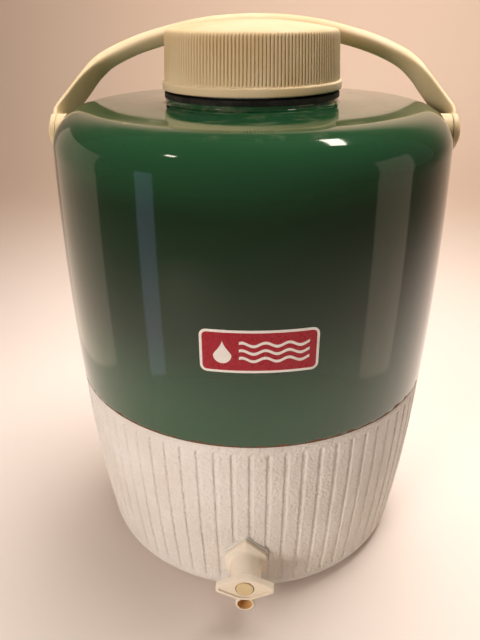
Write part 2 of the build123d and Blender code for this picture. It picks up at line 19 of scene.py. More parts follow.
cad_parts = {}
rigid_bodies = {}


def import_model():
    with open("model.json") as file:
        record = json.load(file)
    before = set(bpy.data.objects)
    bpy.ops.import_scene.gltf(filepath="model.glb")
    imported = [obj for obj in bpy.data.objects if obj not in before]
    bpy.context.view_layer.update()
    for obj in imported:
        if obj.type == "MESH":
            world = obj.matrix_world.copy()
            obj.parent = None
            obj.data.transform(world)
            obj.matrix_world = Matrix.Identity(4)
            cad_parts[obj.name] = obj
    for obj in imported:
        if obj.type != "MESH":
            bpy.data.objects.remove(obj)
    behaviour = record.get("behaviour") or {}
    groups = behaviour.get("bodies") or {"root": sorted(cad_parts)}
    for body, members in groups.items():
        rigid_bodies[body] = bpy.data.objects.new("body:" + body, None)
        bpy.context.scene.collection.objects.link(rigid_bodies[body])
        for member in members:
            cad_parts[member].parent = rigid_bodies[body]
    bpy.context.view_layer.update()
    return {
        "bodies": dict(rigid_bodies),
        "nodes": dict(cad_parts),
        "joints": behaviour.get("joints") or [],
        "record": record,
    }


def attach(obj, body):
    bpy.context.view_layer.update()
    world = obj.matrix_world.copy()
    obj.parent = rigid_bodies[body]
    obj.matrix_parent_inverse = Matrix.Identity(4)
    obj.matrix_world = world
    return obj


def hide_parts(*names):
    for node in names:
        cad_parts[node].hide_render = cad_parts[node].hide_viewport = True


log = logging.getLogger("drinks_jug")

MM = 0.001
WELD = 0.002


class Slot(Enum):
    """The record's material slots, by what they cover."""

    ENAMEL = "green_enamel"
    BASE = "white_plastic"
    CREAM = "cream_plastic"
    BUTTON = "button_plastic"
    TANK = "tank_plastic"
    FOAM = "foam"
    RUBBER = "black_rubber"
    SEAL = "clear_rubber"
    STEEL = "plated_steel"
    LABEL = "printed_label"


class Body(Enum):
    """The moving bodies of the frame."""

    JUG = "jug"
    HANDLE = "handle"
    LID = "lid"
    GASKET = "lid_gasket"
    BUTTON = "button"


# ---------------------------------------------------------------- small tools


def linear(code: str) -> tuple[float, float, float, float]:
    """Turns an sRGB hex colour into linear RGBA.

    Args:
        code: Six hex digits after a hash.

    Returns:
        Linear red, green, blue and an alpha of one.
    """
    parts = [int(code[i : i + 2], 16) / 255 for i in (1, 3, 5)]
    flat = [c / 12.92 if c <= 0.04045 else ((c + 0.055) / 1.055) ** 2.4 for c in parts]
    return (flat[0], flat[1], flat[2], 1.0)


def add_node(
    tree: bpy.types.NodeTree,
    kind: str,
    settings: dict[str, Any] | None = None,
    inputs: dict[Any, Any] | None = None,
) -> bpy.types.Node:
    """Adds one node with its settings and inputs.

    Args:
        tree: The node tree it joins.
        kind: The node's type, without the ShaderNode part.
        settings: Attributes of the node itself.
        inputs: Input sockets by name or number; each gets a constant or another output.

    Returns:
        The new node.
    """
    node = tree.nodes.new("ShaderNode" + kind)
    for key, value in (settings or {}).items():
        setattr(node, key, value)
    for key, value in (inputs or {}).items():
        if isinstance(value, bpy.types.NodeSocket):
            tree.links.new(value, node.inputs[key])
        else:
            node.inputs[key].default_value = value
    return node


def smoothstep(low: float, high: float, value: float) -> float:
    """Eases from 0 at low to 1 at high."""
    share = min(max((value - low) / (high - low), 0.0), 1.0)
    return share * share * (3 - 2 * share)


@dataclass(frozen=True)
class Bow:
    """A side that bows outward as one arc through three (radius, height) points."""

    low: tuple[float, float]
    middle: tuple[float, float]
    high: tuple[float, float]

    def radius_at(self, height: float) -> float:
        """Gives the side's radius at a height.

        Args:
            height: Height above the floor in millimetres.

        Returns:
            The radius there.
        """
        (ax, ay), (bx, by), (cx, cy) = self.low, self.middle, self.high
        twice = 2 * (ax * (by - cy) + bx * (cy - ay) + cx * (ay - by))
        a2, b2, c2 = ax * ax + ay * ay, bx * bx + by * by, cx * cx + cy * cy
        mid_r = (a2 * (by - cy) + b2 * (cy - ay) + c2 * (ay - by)) / twice
        mid_z = (a2 * (cx - bx) + b2 * (ax - cx) + c2 * (bx - ax)) / twice
        round_r = math.hypot(ax - mid_r, ay - mid_z)
        return mid_r + math.sqrt(round_r**2 - (height - mid_z) ** 2)


class Lathe:
    """A half profile drawn point by point and then turned about the upright axis."""

    def __init__(self, radius: float, height: float) -> None:
        """Starts the profile at one point."""
        self.mesh = bmesh.new()
        self.tip = self.mesh.verts.new((radius, 0, height))

    def to(self, radius: float, height: float) -> "Lathe":
        """Draws a straight run to a point."""
        made = bmesh.ops.extrude_vert_indiv(self.mesh, verts=[self.tip])
        self.tip = made["verts"][0]
        self.tip.co = (radius, 0, height)
        return self

    def along(self, bow: Bow, heights: Iterable[float], inset: float = 0.0) -> "Lathe":
        """Follows a bowed side through the given heights."""
        for height in heights:
            self.to(bow.radius_at(height) - inset, height)
        return self

    def round(self, radius: float, height: float, degrees: float, steps: int) -> "Lathe":
        """Draws an arc about a centre; positive turns from outward to upward."""
        made = bmesh.ops.spin(
            self.mesh,
            geom=[self.tip],
            cent=(radius, 0, height),
            axis=(0, -1, 0),
            angle=math.radians(degrees),
            steps=steps,
        )
        self.tip = next(v for v in made["geom_last"] if isinstance(v, bmesh.types.BMVert))
        return self

    def turn(self, steps: int = 96) -> bmesh.types.BMesh:
        """Turns the profile all the way round.

        Args:
            steps: Flats in one turn.

        Returns:
            The closed mesh.
        """
        geom = self.mesh.verts[:] + self.mesh.edges[:]
        bmesh.ops.spin(
            self.mesh,
            geom=geom,
            cent=(0, 0, 0),
            axis=(0, 0, 1),
            angle=math.tau,
            steps=steps,
            use_merge=True,
        )
        return close(self.mesh)

    def slice(self, offsets: list[float], copies: int) -> bmesh.types.BMesh:
        """Turns the profile through one narrow slice, ready to be repeated.

        Args:
            offsets: Angles of the slice's lines in degrees, from its middle.
            copies: How many slices make a full turn.

        Returns:
            The mesh of one slice.
        """
        spread = 360 / copies
        lines = [-spread / 2, *offsets, spread / 2]
        turn_about_axis(self.mesh, lines[0])
        strip = self.mesh.verts[:] + self.mesh.edges[:]
        for before, after in zip(lines, lines[1:]):
            made = bmesh.ops.spin(
                self.mesh,
                geom=strip,
                cent=(0, 0, 0),
                axis=(0, 0, 1),
                angle=math.radians(after - before),
                steps=1,
            )
            strip = made["geom_last"]
        return self.mesh


def turn_about_axis(mesh: bmesh.types.BMesh, degrees: float) -> None:
    """Turns a whole mesh about the upright axis."""
    turn = Matrix.Rotation(math.radians(degrees), 3, "Z")
    bmesh.ops.rotate(mesh, cent=(0, 0, 0), matrix=turn, verts=mesh.verts[:])


def repeat_round(mesh: bmesh.types.BMesh, copies: int) -> bmesh.types.BMesh:
    """Repeats one slice until it closes the circle.

    Args:
        mesh: One slice, 360 degrees over copies wide.
        copies: How many slices there are.

    Returns:
        The closed mesh.
    """
    bmesh.ops.spin(
        mesh,
        geom=mesh.verts[:] + mesh.edges[:] + mesh.faces[:],
        cent=(0, 0, 0),
        axis=(0, 0, 1),
        angle=math.tau * (copies - 1) / copies,
        steps=copies - 1,
        use_duplicate=True,
    )
    return close(mesh)


def close(mesh: bmesh.types.BMesh) -> bmesh.types.BMesh:
    """Welds seams and poles and points every face outward."""
    bmesh.ops.remove_doubles(mesh, verts=mesh.verts[:], dist=WELD)
    bmesh.ops.recalc_face_normals(mesh, faces=mesh.faces[:])
    return mesh


def lay_forward(mesh: bmesh.types.BMesh, height: float) -> bmesh.types.BMesh:
    """Lays an upright turned part along -Y, with its axis at a height.

    Args:
        mesh: A mesh whose +Z becomes -Y.
        height: Height of the axis in millimetres.

    Returns:
        The same mesh.
    """
    bmesh.ops.transform(
        mesh,
        matrix=Matrix.Translation((0, 0, height)) @ Matrix.Rotation(math.radians(90), 4, "X"),
        verts=mesh.verts[:],
    )
    return mesh


def join(parts: list[bmesh.types.BMesh]) -> bmesh.types.BMesh:
    """Puts several meshes into the first of them.

    Args:
        parts: Meshes in the same units.

    Returns:
        The first mesh, now holding them all.
    """
    whole, rest = parts[0], parts[1:]
    for part in rest:
        held = bpy.data.meshes.new("held")
        part.to_mesh(held)
        part.free()
        whole.from_mesh(held)
        bpy.data.meshes.remove(held)
    return whole


def plate(corners: list[tuple[float, float]], thick: float) -> bmesh.types.BMesh:
    """Makes a flat plate on the XY plane that rises along +Z.

    Args:
        corners: Outline points in order.
        thick: Thickness in millimetres.

    Returns:
        The closed plate.
    """
    mesh = bmesh.new()
    face = mesh.faces.new([mesh.verts.new((x, y, 0)) for x, y in corners])
    made = bmesh.ops.extrude_face_region(mesh, geom=[face])
    top = [v for v in made["geom"] if isinstance(v, bmesh.types.BMVert)]
    bmesh.ops.translate(mesh, vec=(0, 0, thick), verts=top)
    return close(mesh)


def soften(
    mesh: bmesh.types.BMesh,
    width: float,
    pick: Callable[[bmesh.types.BMEdge], bool],
    segments: int = 3,
) -> None:
    """Rounds the edges that pick chooses.

    Args:
        mesh: The mesh to round.
        width: Size of the round in millimetres.
        pick: Says whether an edge is rounded.
        segments: Facets across the round.
    """
    bmesh.ops.bevel(
        mesh,
        geom=[e for e in mesh.edges if pick(e)],
        offset=width,
        offset_type="OFFSET",
        affect="EDGES",
        segments=segments,
        profile=0.5,
        material=-1,
        clamp_overlap=True,
    )


def six_sided(half_w: float, half_h: float, side_h: float) -> list[tuple[float, float]]:
    """Gives a tall six-sided outline with a point above and below.

    Args:
        half_w: Half its width.
        half_h: Height of the upper point.
        side_h: Height of the sides' upper ends.

    Returns:
        The corners in order.
    """
    above = [(half_w, side_h), (0.0, half_h), (-half_w, side_h)]
    return [*above, (-half_w, -side_h), (0.0, -half_h), (half_w, -side_h)]


def is_upright(edge: bmesh.types.BMEdge) -> bool:
    """Tells whether an edge runs along Z."""
    a, b = edge.verts
    return (a.co - b.co).xy.length < WELD


def dress(
    obj: bpy.types.Object, finishes: list[bpy.types.Material], sharp_degrees: float = 35.0
) -> None:
    """Gives an object its materials and shades it smooth up to a crease angle."""
    for finish in finishes:
        obj.data.materials.append(finish)
    obj.data.polygons.foreach_set("use_smooth", [True] * len(obj.data.polygons))
    obj.data.set_sharp_from_angle(angle=math.radians(sharp_degrees))


def hand_over(
    mesh: bmesh.types.BMesh,
    name: str,
    finishes: list[bpy.types.Material],
    body: Body,
    stands_for: tuple[str, ...] = (),
    sharp_degrees: float = 35.0,
) -> bpy.types.Object:
    """Turns a finished mesh in millimetres into a piece that rides on its body.

    Args:
        mesh: The mesh, which is freed.
        name: The piece's name.
        finishes: Its materials, in the order its faces name them.
        body: The body that carries it.
        stands_for: CAD nodes it is shown instead of.
        sharp_degrees: Edges that fold more than this stay crisp.

    Returns:
        The new object.
    """
    bmesh.ops.scale(mesh, vec=(MM, MM, MM), verts=mesh.verts[:])
    data = bpy.data.meshes.new(name)
    mesh.to_mesh(data)
    mesh.free()
    obj = bpy.data.objects.new(name, data)
    bpy.context.scene.collection.objects.link(obj)
    dress(obj, finishes, sharp_degrees)
    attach(obj, body.value)
    if stands_for:
        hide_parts(*stands_for)
    log.info("%s: %d faces on %s", name, len(data.polygons), body.value)
    return obj


# ---------------------------------------------------------------- finishes


class Recipe:
    """One material's node tree, put together from short sums on its sockets."""

    def __init__(self, name: str) -> None:
        """Starts an empty material that is laid out by Object coordinates."""
        self.material = bpy.data.materials.new(name)
        self.material.use_nodes = True
        self.tree = self.material.node_tree
        self.tree.nodes.clear()
        self.place = self.add("TexCoord").outputs["Object"]

    def add(
        self,
        kind: str,
        settings: dict[str, Any] | None = None,
        inputs: dict[Any, Any] | None = None,
    ) -> bpy.types.Node:
        """Adds one node, as add_node does."""
        return add_node(self.tree, kind, settings, inputs)

    def noise(self, size_mm: float, detail: float = 2.0, rough: float = 0.5) -> bpy.types.NodeSocket:
        """Adds soft noise with spots of about the given size."""
        inputs = {"Scale": 1 / (size_mm * MM), "Detail": detail, "Roughness": rough}
        return self.add("TexNoise", None, {**inputs, "Vector": self.place}).outputs["Fac"]

    def ramp(
        self,
        value: bpy.types.NodeSocket,
        low: float,
        high: float,
        bottom: float = 0.0,
        top: float = 1.0,
        eased: bool = False,
    ) -> bpy.types.NodeSocket:
        """Maps low and high to bottom and top, and holds the value past them.

        Args:
            value: What is mapped.
            low: The value that gives bottom.
            high: The value that gives top.
            bottom: Result at low.
            top: Result at high.
            eased: Whether the ends are eased.

        Returns:
            The result.
        """
        kind = "SMOOTHSTEP" if eased else "LINEAR"
        ends = {"From Min": low, "From Max": high, "To Min": bottom, "To Max": top}
        node = self.add("MapRange", {"interpolation_type": kind}, {**ends, "Value": value})
        return node.outputs["Result"]

    def work_out(self, operation: str, a: Any, b: Any) -> bpy.types.NodeSocket:
        """Works out one sum of two values."""
        return self.add("Math", {"operation": operation}, {0: a, 1: b}).outputs[0]

    def blend(self, a: Any, b: Any, share: Any, kind: str = "RGBA") -> bpy.types.NodeSocket:
        """Goes from a to b as the share goes from 0 to 1."""
        node = self.add("Mix", {"data_type": kind}, {"A": a, "B": b, "Factor": share})
        return node.outputs["Result"]

    def bump(
        self, height: bpy.types.NodeSocket, strength: float, depth_mm: float
    ) -> bpy.types.NodeSocket:
        """Raises the surface where the height is high."""
        inputs = {"Height": height, "Strength": strength, "Distance": depth_mm * MM}
        return self.add("Bump", None, inputs).outputs[0]

    def finish(self, inputs: dict[str, Any]) -> bpy.types.Material:
        """Adds the surface shader and the output.

        Args:
            inputs: The shader's inputs by name.

        Returns:
            The finished material.
        """
        shader = self.add("BsdfPrincipled", None, inputs)
        self.add("OutputMaterial", None, {"Surface": shader.outputs[0]})
        return self.material


@dataclass(frozen=True)
class Finish:
    """What every finish has: a plain name for the material."""

    name: str


@dataclass(frozen=True)
class Enamel(Finish):
    """Baked gloss enamel sprayed on drawn steel, decades old.

    It gives a deep wet shine with a faint orange peel, dust dulling the level top, fine
    rubs, a few chips to the tan primer, a brown line where the lower edge rusts, and a
    painted shade that darkens the upper middle of the side.
    """

    colour: str = "#1f5230"
    # Colour of the painted shade that darkens the upper middle of the side.
    deep: str = "#0e2a17"
    primer: str = "#b99c6c"
    rust: str = "#6b4326"
    dust: str = "#a39c7c"
    edge_z: float = 137.4
    top_z: float = 308.0
    dust_rise: float = 6.0
    patch_mm: float = 14.0
    peel_mm: float = 3.5
    peel_depth_mm: float = 0.3
    chip_mm: float = 16.0
    chip_low: float = 288.0
    chip_full: float = 296.0
    rust_least: float = 0.35
    rust_most: float = 3.4
    rust_mm: float = 7.0
    rub_mm: float = 30.0
    coat_ior: float = 1.5

    def build(self) -> bpy.types.Material:
        """Makes the material.

        Returns:
            The finished material.
        """
        mix = Recipe(self.name)
        height = mix.add("SeparateXYZ", None, {0: mix.place}).outputs["Z"]

        # Painted shade: the colour is pulled towards the deep colour in a band on the upper middle
        # of the side and stays paler towards the foot and the shoulder, with random tone added on
        # top.
        foot = mix.ramp(height, 0.15, 0.23, 0.1, 0.85, eased=True)
        shoulder = mix.ramp(height, 0.27, 0.3, 1.0, 0.25, eased=True)
        depth = mix.work_out("MULTIPLY", foot, shoulder)
        tone = mix.add("TexNoise", None, {"Scale": 9.0, "Detail": 3.0, "Vector": mix.place})
        painted_shade_and_tone = mix.add(
            "Math",
            {"operation": "MULTIPLY_ADD", "use_clamp": True},
            {0: tone.outputs["Fac"], 1: 0.4, 2: depth},
        ).outputs[0]
        # Mixes the painted shade band and the random tone into the enamel green.
        colour = mix.blend(linear(self.colour), linear(self.deep), painted_shade_and_tone)

        # Dust lies in patches on the level top.
        level = mix.ramp(height, self.top_z * MM, (self.top_z + self.dust_rise) * MM, eased=True)
        patch = mix.ramp(mix.noise(self.patch_mm, 6.0, 0.7), 0.52, 0.8, 0.0, 0.35)
        dusty = mix.work_out("MULTIPLY", level, patch)
        colour = mix.blend(colour, linear(self.dust), dusty)

        # Chips: a few small cells of a coarse cell pattern, each with a ragged rim.
        ragged = mix.add("TexNoise", None, {"Scale": 1 / (2 * MM), "Vector": mix.place})
        shifted = mix.add(
            "MixRGB",
            {"blend_type": "LINEAR_LIGHT"},
            {"Fac": 0.0012, "Color1": mix.place, "Color2": ragged.outputs["Color"]},
        ).outputs[0]
        cells = mix.add(
            "TexVoronoi", None, {"Scale": 1 / (self.chip_mm * MM), "Vector": shifted}
        )
        draw = mix.add("SeparateXYZ", None, {0: cells.outputs["Color"]}).outputs["X"]
        rarity = mix.ramp(draw, 0.62, 1.0, 0.0, 0.055)
        high_up = mix.ramp(height, self.chip_low * MM, self.chip_full * MM)
        chip_size = mix.work_out("MULTIPLY", rarity, high_up)
        chip = mix.work_out("LESS_THAN", cells.outputs["Distance"], chip_size)
        colour = mix.blend(colour, linear(self.primer), chip)

        # Rust creeps up from the cut lower edge.
        least, most = (self.edge_z + self.rust_least) * MM, (self.edge_z + self.rust_most) * MM
        reach = mix.ramp(mix.noise(self.rust_mm, 5.0, 0.65), 0.38, 0.75, least, most)
        rusty = mix.work_out("LESS_THAN", height, reach)
        colour = mix.blend(colour, linear(self.rust), rusty)

        worn = mix.work_out("MAXIMUM", rusty, chip)
        dull = mix.work_out("MAXIMUM", worn, dusty)
        gloss = mix.ramp(mix.noise(self.rub_mm, 8.0, 0.75), 0.35, 0.75, 0.05, 0.12)
        rough = mix.blend(gloss, 0.75, dull, "FLOAT")
        shine = mix.ramp(dull, 0.0, 1.0, 0.5, 0.0)
        ripple = mix.bump(mix.noise(self.peel_mm, 1.0), 0.03, self.peel_depth_mm)
        pitted = mix.add(
            "Bump",
            {"invert": True},
            {"Strength": 0.6, "Distance": 0.3 * MM, "Height": worn, "Normal": ripple},
        ).outputs[0]
        return mix.finish(
            {
                "Base Color": colour,
                "Roughness": rough,
                "IOR": self.coat_ior,
                "Coat Weight": shine,
                "Coat Roughness": 0.04,
                "Coat IOR": self.coat_ior,
                "Normal": pitted,
            }
        )


@dataclass(frozen=True)
class Moulded(Finish):
    """Injection-moulded plastic, aged.

    It gives a soft satin with light sinking a little way in, slow yellowing, and grime
    that stays in the low spots of its texture.
    """

    colour: str = "#e6d0ab"
    aged: str = "#dbbf90"
    grime: str = "#8f7f66"
    grime_share: float = 0.25
    rough: float = 0.42
    ageing_mm: float = 45.0
    grain_mm: float = 0.6
    grain_depth_mm: float = 0.03
    grain_strength: float = 0.25
    sink: float = 0.06
    sink_mm: float = 2.0
    cells: bool = False
    speck_mm: float = 11.0
    speck_share: float = 0.0

    def build(self) -> bpy.types.Material:
        """Makes the material.

        Returns:
            The finished material.
        """
        mix = Recipe(self.name)
        slow = mix.noise(self.ageing_mm, 4.0)
        yellowing = mix.ramp(slow, 0.35, 0.7)
        colour = mix.blend(linear(self.colour), linear(self.aged), yellowing)
        grain = mix.noise(self.grain_mm, 3.0, 0.6)
        if self.cells:
            hide = mix.add(
                "TexVoronoi",
                {"feature": "SMOOTH_F1"},
                {"Scale": 1 / (1.5 * self.grain_mm * MM), "Smoothness": 0.6, "Vector": mix.place},
            ).outputs["Distance"]
            grain = mix.work_out("SUBTRACT", grain, hide)
        low = mix.ramp(grain, 0.42, 0.1, 0.0, self.grime_share)
        colour = mix.blend(colour, linear(self.grime), low)
        if self.speck_share:
            specks = mix.add(
                "TexVoronoi", None, {"Scale": 1 / (self.speck_mm * MM), "Vector": mix.place}
            )
            speck = mix.ramp(specks.outputs["Distance"], 0.06, 0.02, 0.0, self.speck_share)
            colour = mix.blend(colour, linear(self.grime), speck)
        return mix.finish(
            {
                "Base Color": colour,
                "Roughness": mix.ramp(slow, 0.3, 0.7, self.rough - 0.06, self.rough + 0.08),
                "IOR": 1.5,
                "Subsurface Weight": self.sink,
                "Subsurface Scale": self.sink_mm * MM,
                "Subsurface Radius": (1.0, 0.8, 0.6),
                "Normal": mix.bump(grain, self.grain_strength, self.grain_depth_mm),
            }
        )


@dataclass(frozen=True)
class Rubber(Finish):
    """Moulded rubber, matt and faintly bloomed, so it never goes quite black."""

    colour: str = "#191817"
    bloom: str = "#3a3733"
    rough: float = 0.6
    clear: float = 0.0
    haze_mm: float = 5.0

    def build(self) -> bpy.types.Material:
        """Makes the material.

        Returns:
            The finished material.
        """
        mix = Recipe(self.name)
        haze = mix.noise(self.haze_mm, 5.0)
        share = mix.ramp(haze, 0.4, 0.85)
        return mix.finish(
            {
                "Base Color": mix.blend(linear(self.colour), linear(self.bloom), share),
                "Roughness": self.rough,
                "IOR": 1.52,
                "Subsurface Weight": self.clear,
                "Normal": mix.bump(haze, 0.2, 0.05),
            }
        )


@dataclass(frozen=True)
class RigidFoam(Finish):
    """Poured polyurethane foam: matt, tan, with small open cells on its skin."""

    colour: str = "#d9bd7c"
    shade: str = "#b28e4d"
    cell_mm: float = 1.2

    def build(self) -> bpy.types.Material:
        """Makes the material.

        Returns:
            The finished material.
        """
        mix = Recipe(self.name)
        cell = mix.add(
            "TexVoronoi", None, {"Scale": 1 / (self.cell_mm * MM), "Vector": mix.place}
        ).outputs["Distance"]
        return mix.finish(
            {
                "Base Color": mix.blend(linear(self.shade), linear(self.colour), cell),
                "Roughness": 0.9,
                "Normal": mix.bump(cell, 0.6, 0.4),
            }
        )


@dataclass(frozen=True)
class PlatedSteel(Finish):
    """Bright zinc plate on turned steel: fine turning marks and a greyed shine."""

    colour: str = "#b9b8b2"
    tarnish: str = "#8a857a"
    cloud_mm: float = 6.0
    mark_mm: float = 0.4

    def build(self) -> bpy.types.Material:
        """Makes the material.

        Returns:
            The finished material.
        """
        mix = Recipe(self.name)
        cloud = mix.noise(self.cloud_mm, 4.0)
        return mix.finish(
            {
                "Base Color": mix.blend(linear(self.colour), linear(self.tarnish), cloud),
                "Metallic": 1.0,
                "Roughness": mix.ramp(cloud, 0.3, 0.7, 0.22, 0.4),
                "Normal": mix.bump(mix.noise(self.mark_mm), 0.15, 0.03),
            }
        )


@dataclass(frozen=True)
class PrintedFoil(Finish):
    """Screen-printed film under clear varnish, with fine scuffs through the ink."""

    ink: str = "#9c1325"
    rubbed: str = "#c0505c"
    scuff_mm: float = 6.0

    def build(self) -> bpy.types.Material:
        """Makes the material.

        Returns:
            The finished material.
        """
        mix = Recipe(self.name)
        scuff = mix.noise(self.scuff_mm, 8.0, 0.7)
        share = mix.ramp(scuff, 0.58, 0.85, 0.0, 0.7)
        return mix.finish(
            {
                "Base Color": mix.blend(linear(self.ink), linear(self.rubbed), share),
                "Roughness": mix.ramp(scuff, 0.3, 0.8, 0.2, 0.45),
                "IOR": 1.5,
            }
        )


@dataclass(frozen=True)
class PaleFloor(Finish):
    """Smooth pale card, matt, with no pattern to draw the eye."""

    colour: str = "#e9dcd3"

    def build(self) -> bpy.types.Material:
        """Makes the material.

        Returns:
            The finished material.
        """
        return Recipe(self.name).finish({"Base Color": linear(self.colour), "Roughness": 0.7})


class Finishes:
    """Every finish of the jug, made once."""

    def __init__(self) -> None:
        """Makes them all."""
        self.enamel = Enamel("baked_gloss_enamel").build()
        self.pebbled = Moulded(
            "pebbled_moulded_polyethylene",
            colour="#ece6df",
            aged="#e2dad1",
            grime="#a08d7a",
            grime_share=0.07,
            rough=0.5,
            grain_mm=1.4,
            grain_depth_mm=0.6,
            grain_strength=1.0,
            sink=0.08,
            cells=True,
            speck_share=0.35,
        ).build()
        self.cream = Moulded("cream_moulded_polypropylene").build()
        self.pale = Moulded(
            "pale_moulded_polypropylene", colour="#f0e4d3", aged="#e8d9c0"
        ).build()
        self.button = Moulded(
            "yellowed_moulded_acetal", colour="#e2cfa6", aged="#d3ba87", rough=0.36
        ).build()
        self.tank = Moulded(
            "blow_moulded_polyethylene",
            colour="#e6e4dc",
            aged="#dcd8ca",
            rough=0.48,
            grime_share=0.08,
            sink=0.15,
        ).build()
        self.spout = Moulded(
            "tea_stained_polypropylene",
            colour="#e6c290",
            aged="#d6a86c",
            grime="#a8763f",
            rough=0.4,
        ).build()
        self.foam = RigidFoam("poured_polyurethane_foam").build()
        self.rubber = Rubber("moulded_black_rubber").build()
        self.seal = Rubber(
            "translucent_silicone_rubber", colour="#cfc7b2", bloom="#e0dccf", rough=0.4, clear=0.2
        ).build()
        self.steel = PlatedSteel("zinc_plated_steel").build()
        self.ink = PrintedFoil("red_screen_printed_film").build()
        self.border = PrintedFoil(
            "white_screen_printed_film", ink="#e9e2da", rubbed="#c3a9a0"
        ).build()


# ---------------------------------------------------------------- the jug


@dataclass
class SteelShell:
    """The green drawn-steel shell: bowed side, round shoulder, level top and collar."""

    finishes: Finishes
    radius: float = 125.0
    wall: float = 0.9
    seam_z: float = 137.4
    shoulder_z: float = 290.0
    shoulder_r: float = 23.0
    barrel: float = 1.6
    collar_r: float = 54.0
    collar_top_z: float = 317.4
    crown_rise: float = 1.4
    collar_round: float = 2.5
    edge_round: float = 0.4
    flats: int = 192

    def side(self) -> Bow:
        """Gives the bowed side."""
        middle = (self.seam_z + self.shoulder_z) / 2
        return Bow(
            (self.radius, self.seam_z),
            (self.radius + self.barrel, middle),
            (self.radius, self.shoulder_z),
        )

    def build(self) -> None:
        """Turns the shell and hands it over."""
        side = self.side()
        top_r = self.radius - self.shoulder_r
        crown_z = self.shoulder_z + self.shoulder_r + self.crown_rise
        rise = self.shoulder_z - self.seam_z
        climb = [self.seam_z + rise * k / 14 for k in range(15)]
        soft = self.edge_round
        profile = Lathe(self.radius - self.wall, self.seam_z + soft)
        profile.to(self.radius - self.wall + soft, self.seam_z)
        profile.round(self.radius - soft, self.seam_z + soft, 90, 3)
        profile.along(side, [self.seam_z + 3, *climb[1:]])
        profile.round(top_r, self.shoulder_z, 90, 14)
        profile.to(80.0, crown_z - self.crown_rise * 26 / 48)
        profile.to(self.collar_r + self.collar_round, crown_z)
        profile.round(
            self.collar_r + self.collar_round, crown_z + self.collar_round, -90, 5
        )
        profile.to(self.collar_r, self.collar_top_z - soft)
        profile.round(self.collar_r - soft, self.collar_top_z - soft, 90, 3)
        inner = self.collar_r - self.wall
        profile.to(inner, self.collar_top_z)
        profile.to(inner, crown_z - self.wall)
        profile.to(top_r, crown_z - self.crown_rise - self.wall)
        profile.round(top_r, self.shoulder_z, -90, 10)
        profile.along(side, [*reversed(climb[1:-1]), self.seam_z + soft], self.wall)
        profile.to(self.radius - self.wall, self.seam_z + soft)
        hand_over(
            profile.turn(self.flats),
            "steel_shell",
            [self.finishes.enamel],
            Body.JUG,
            ("outer_shell",),
        )


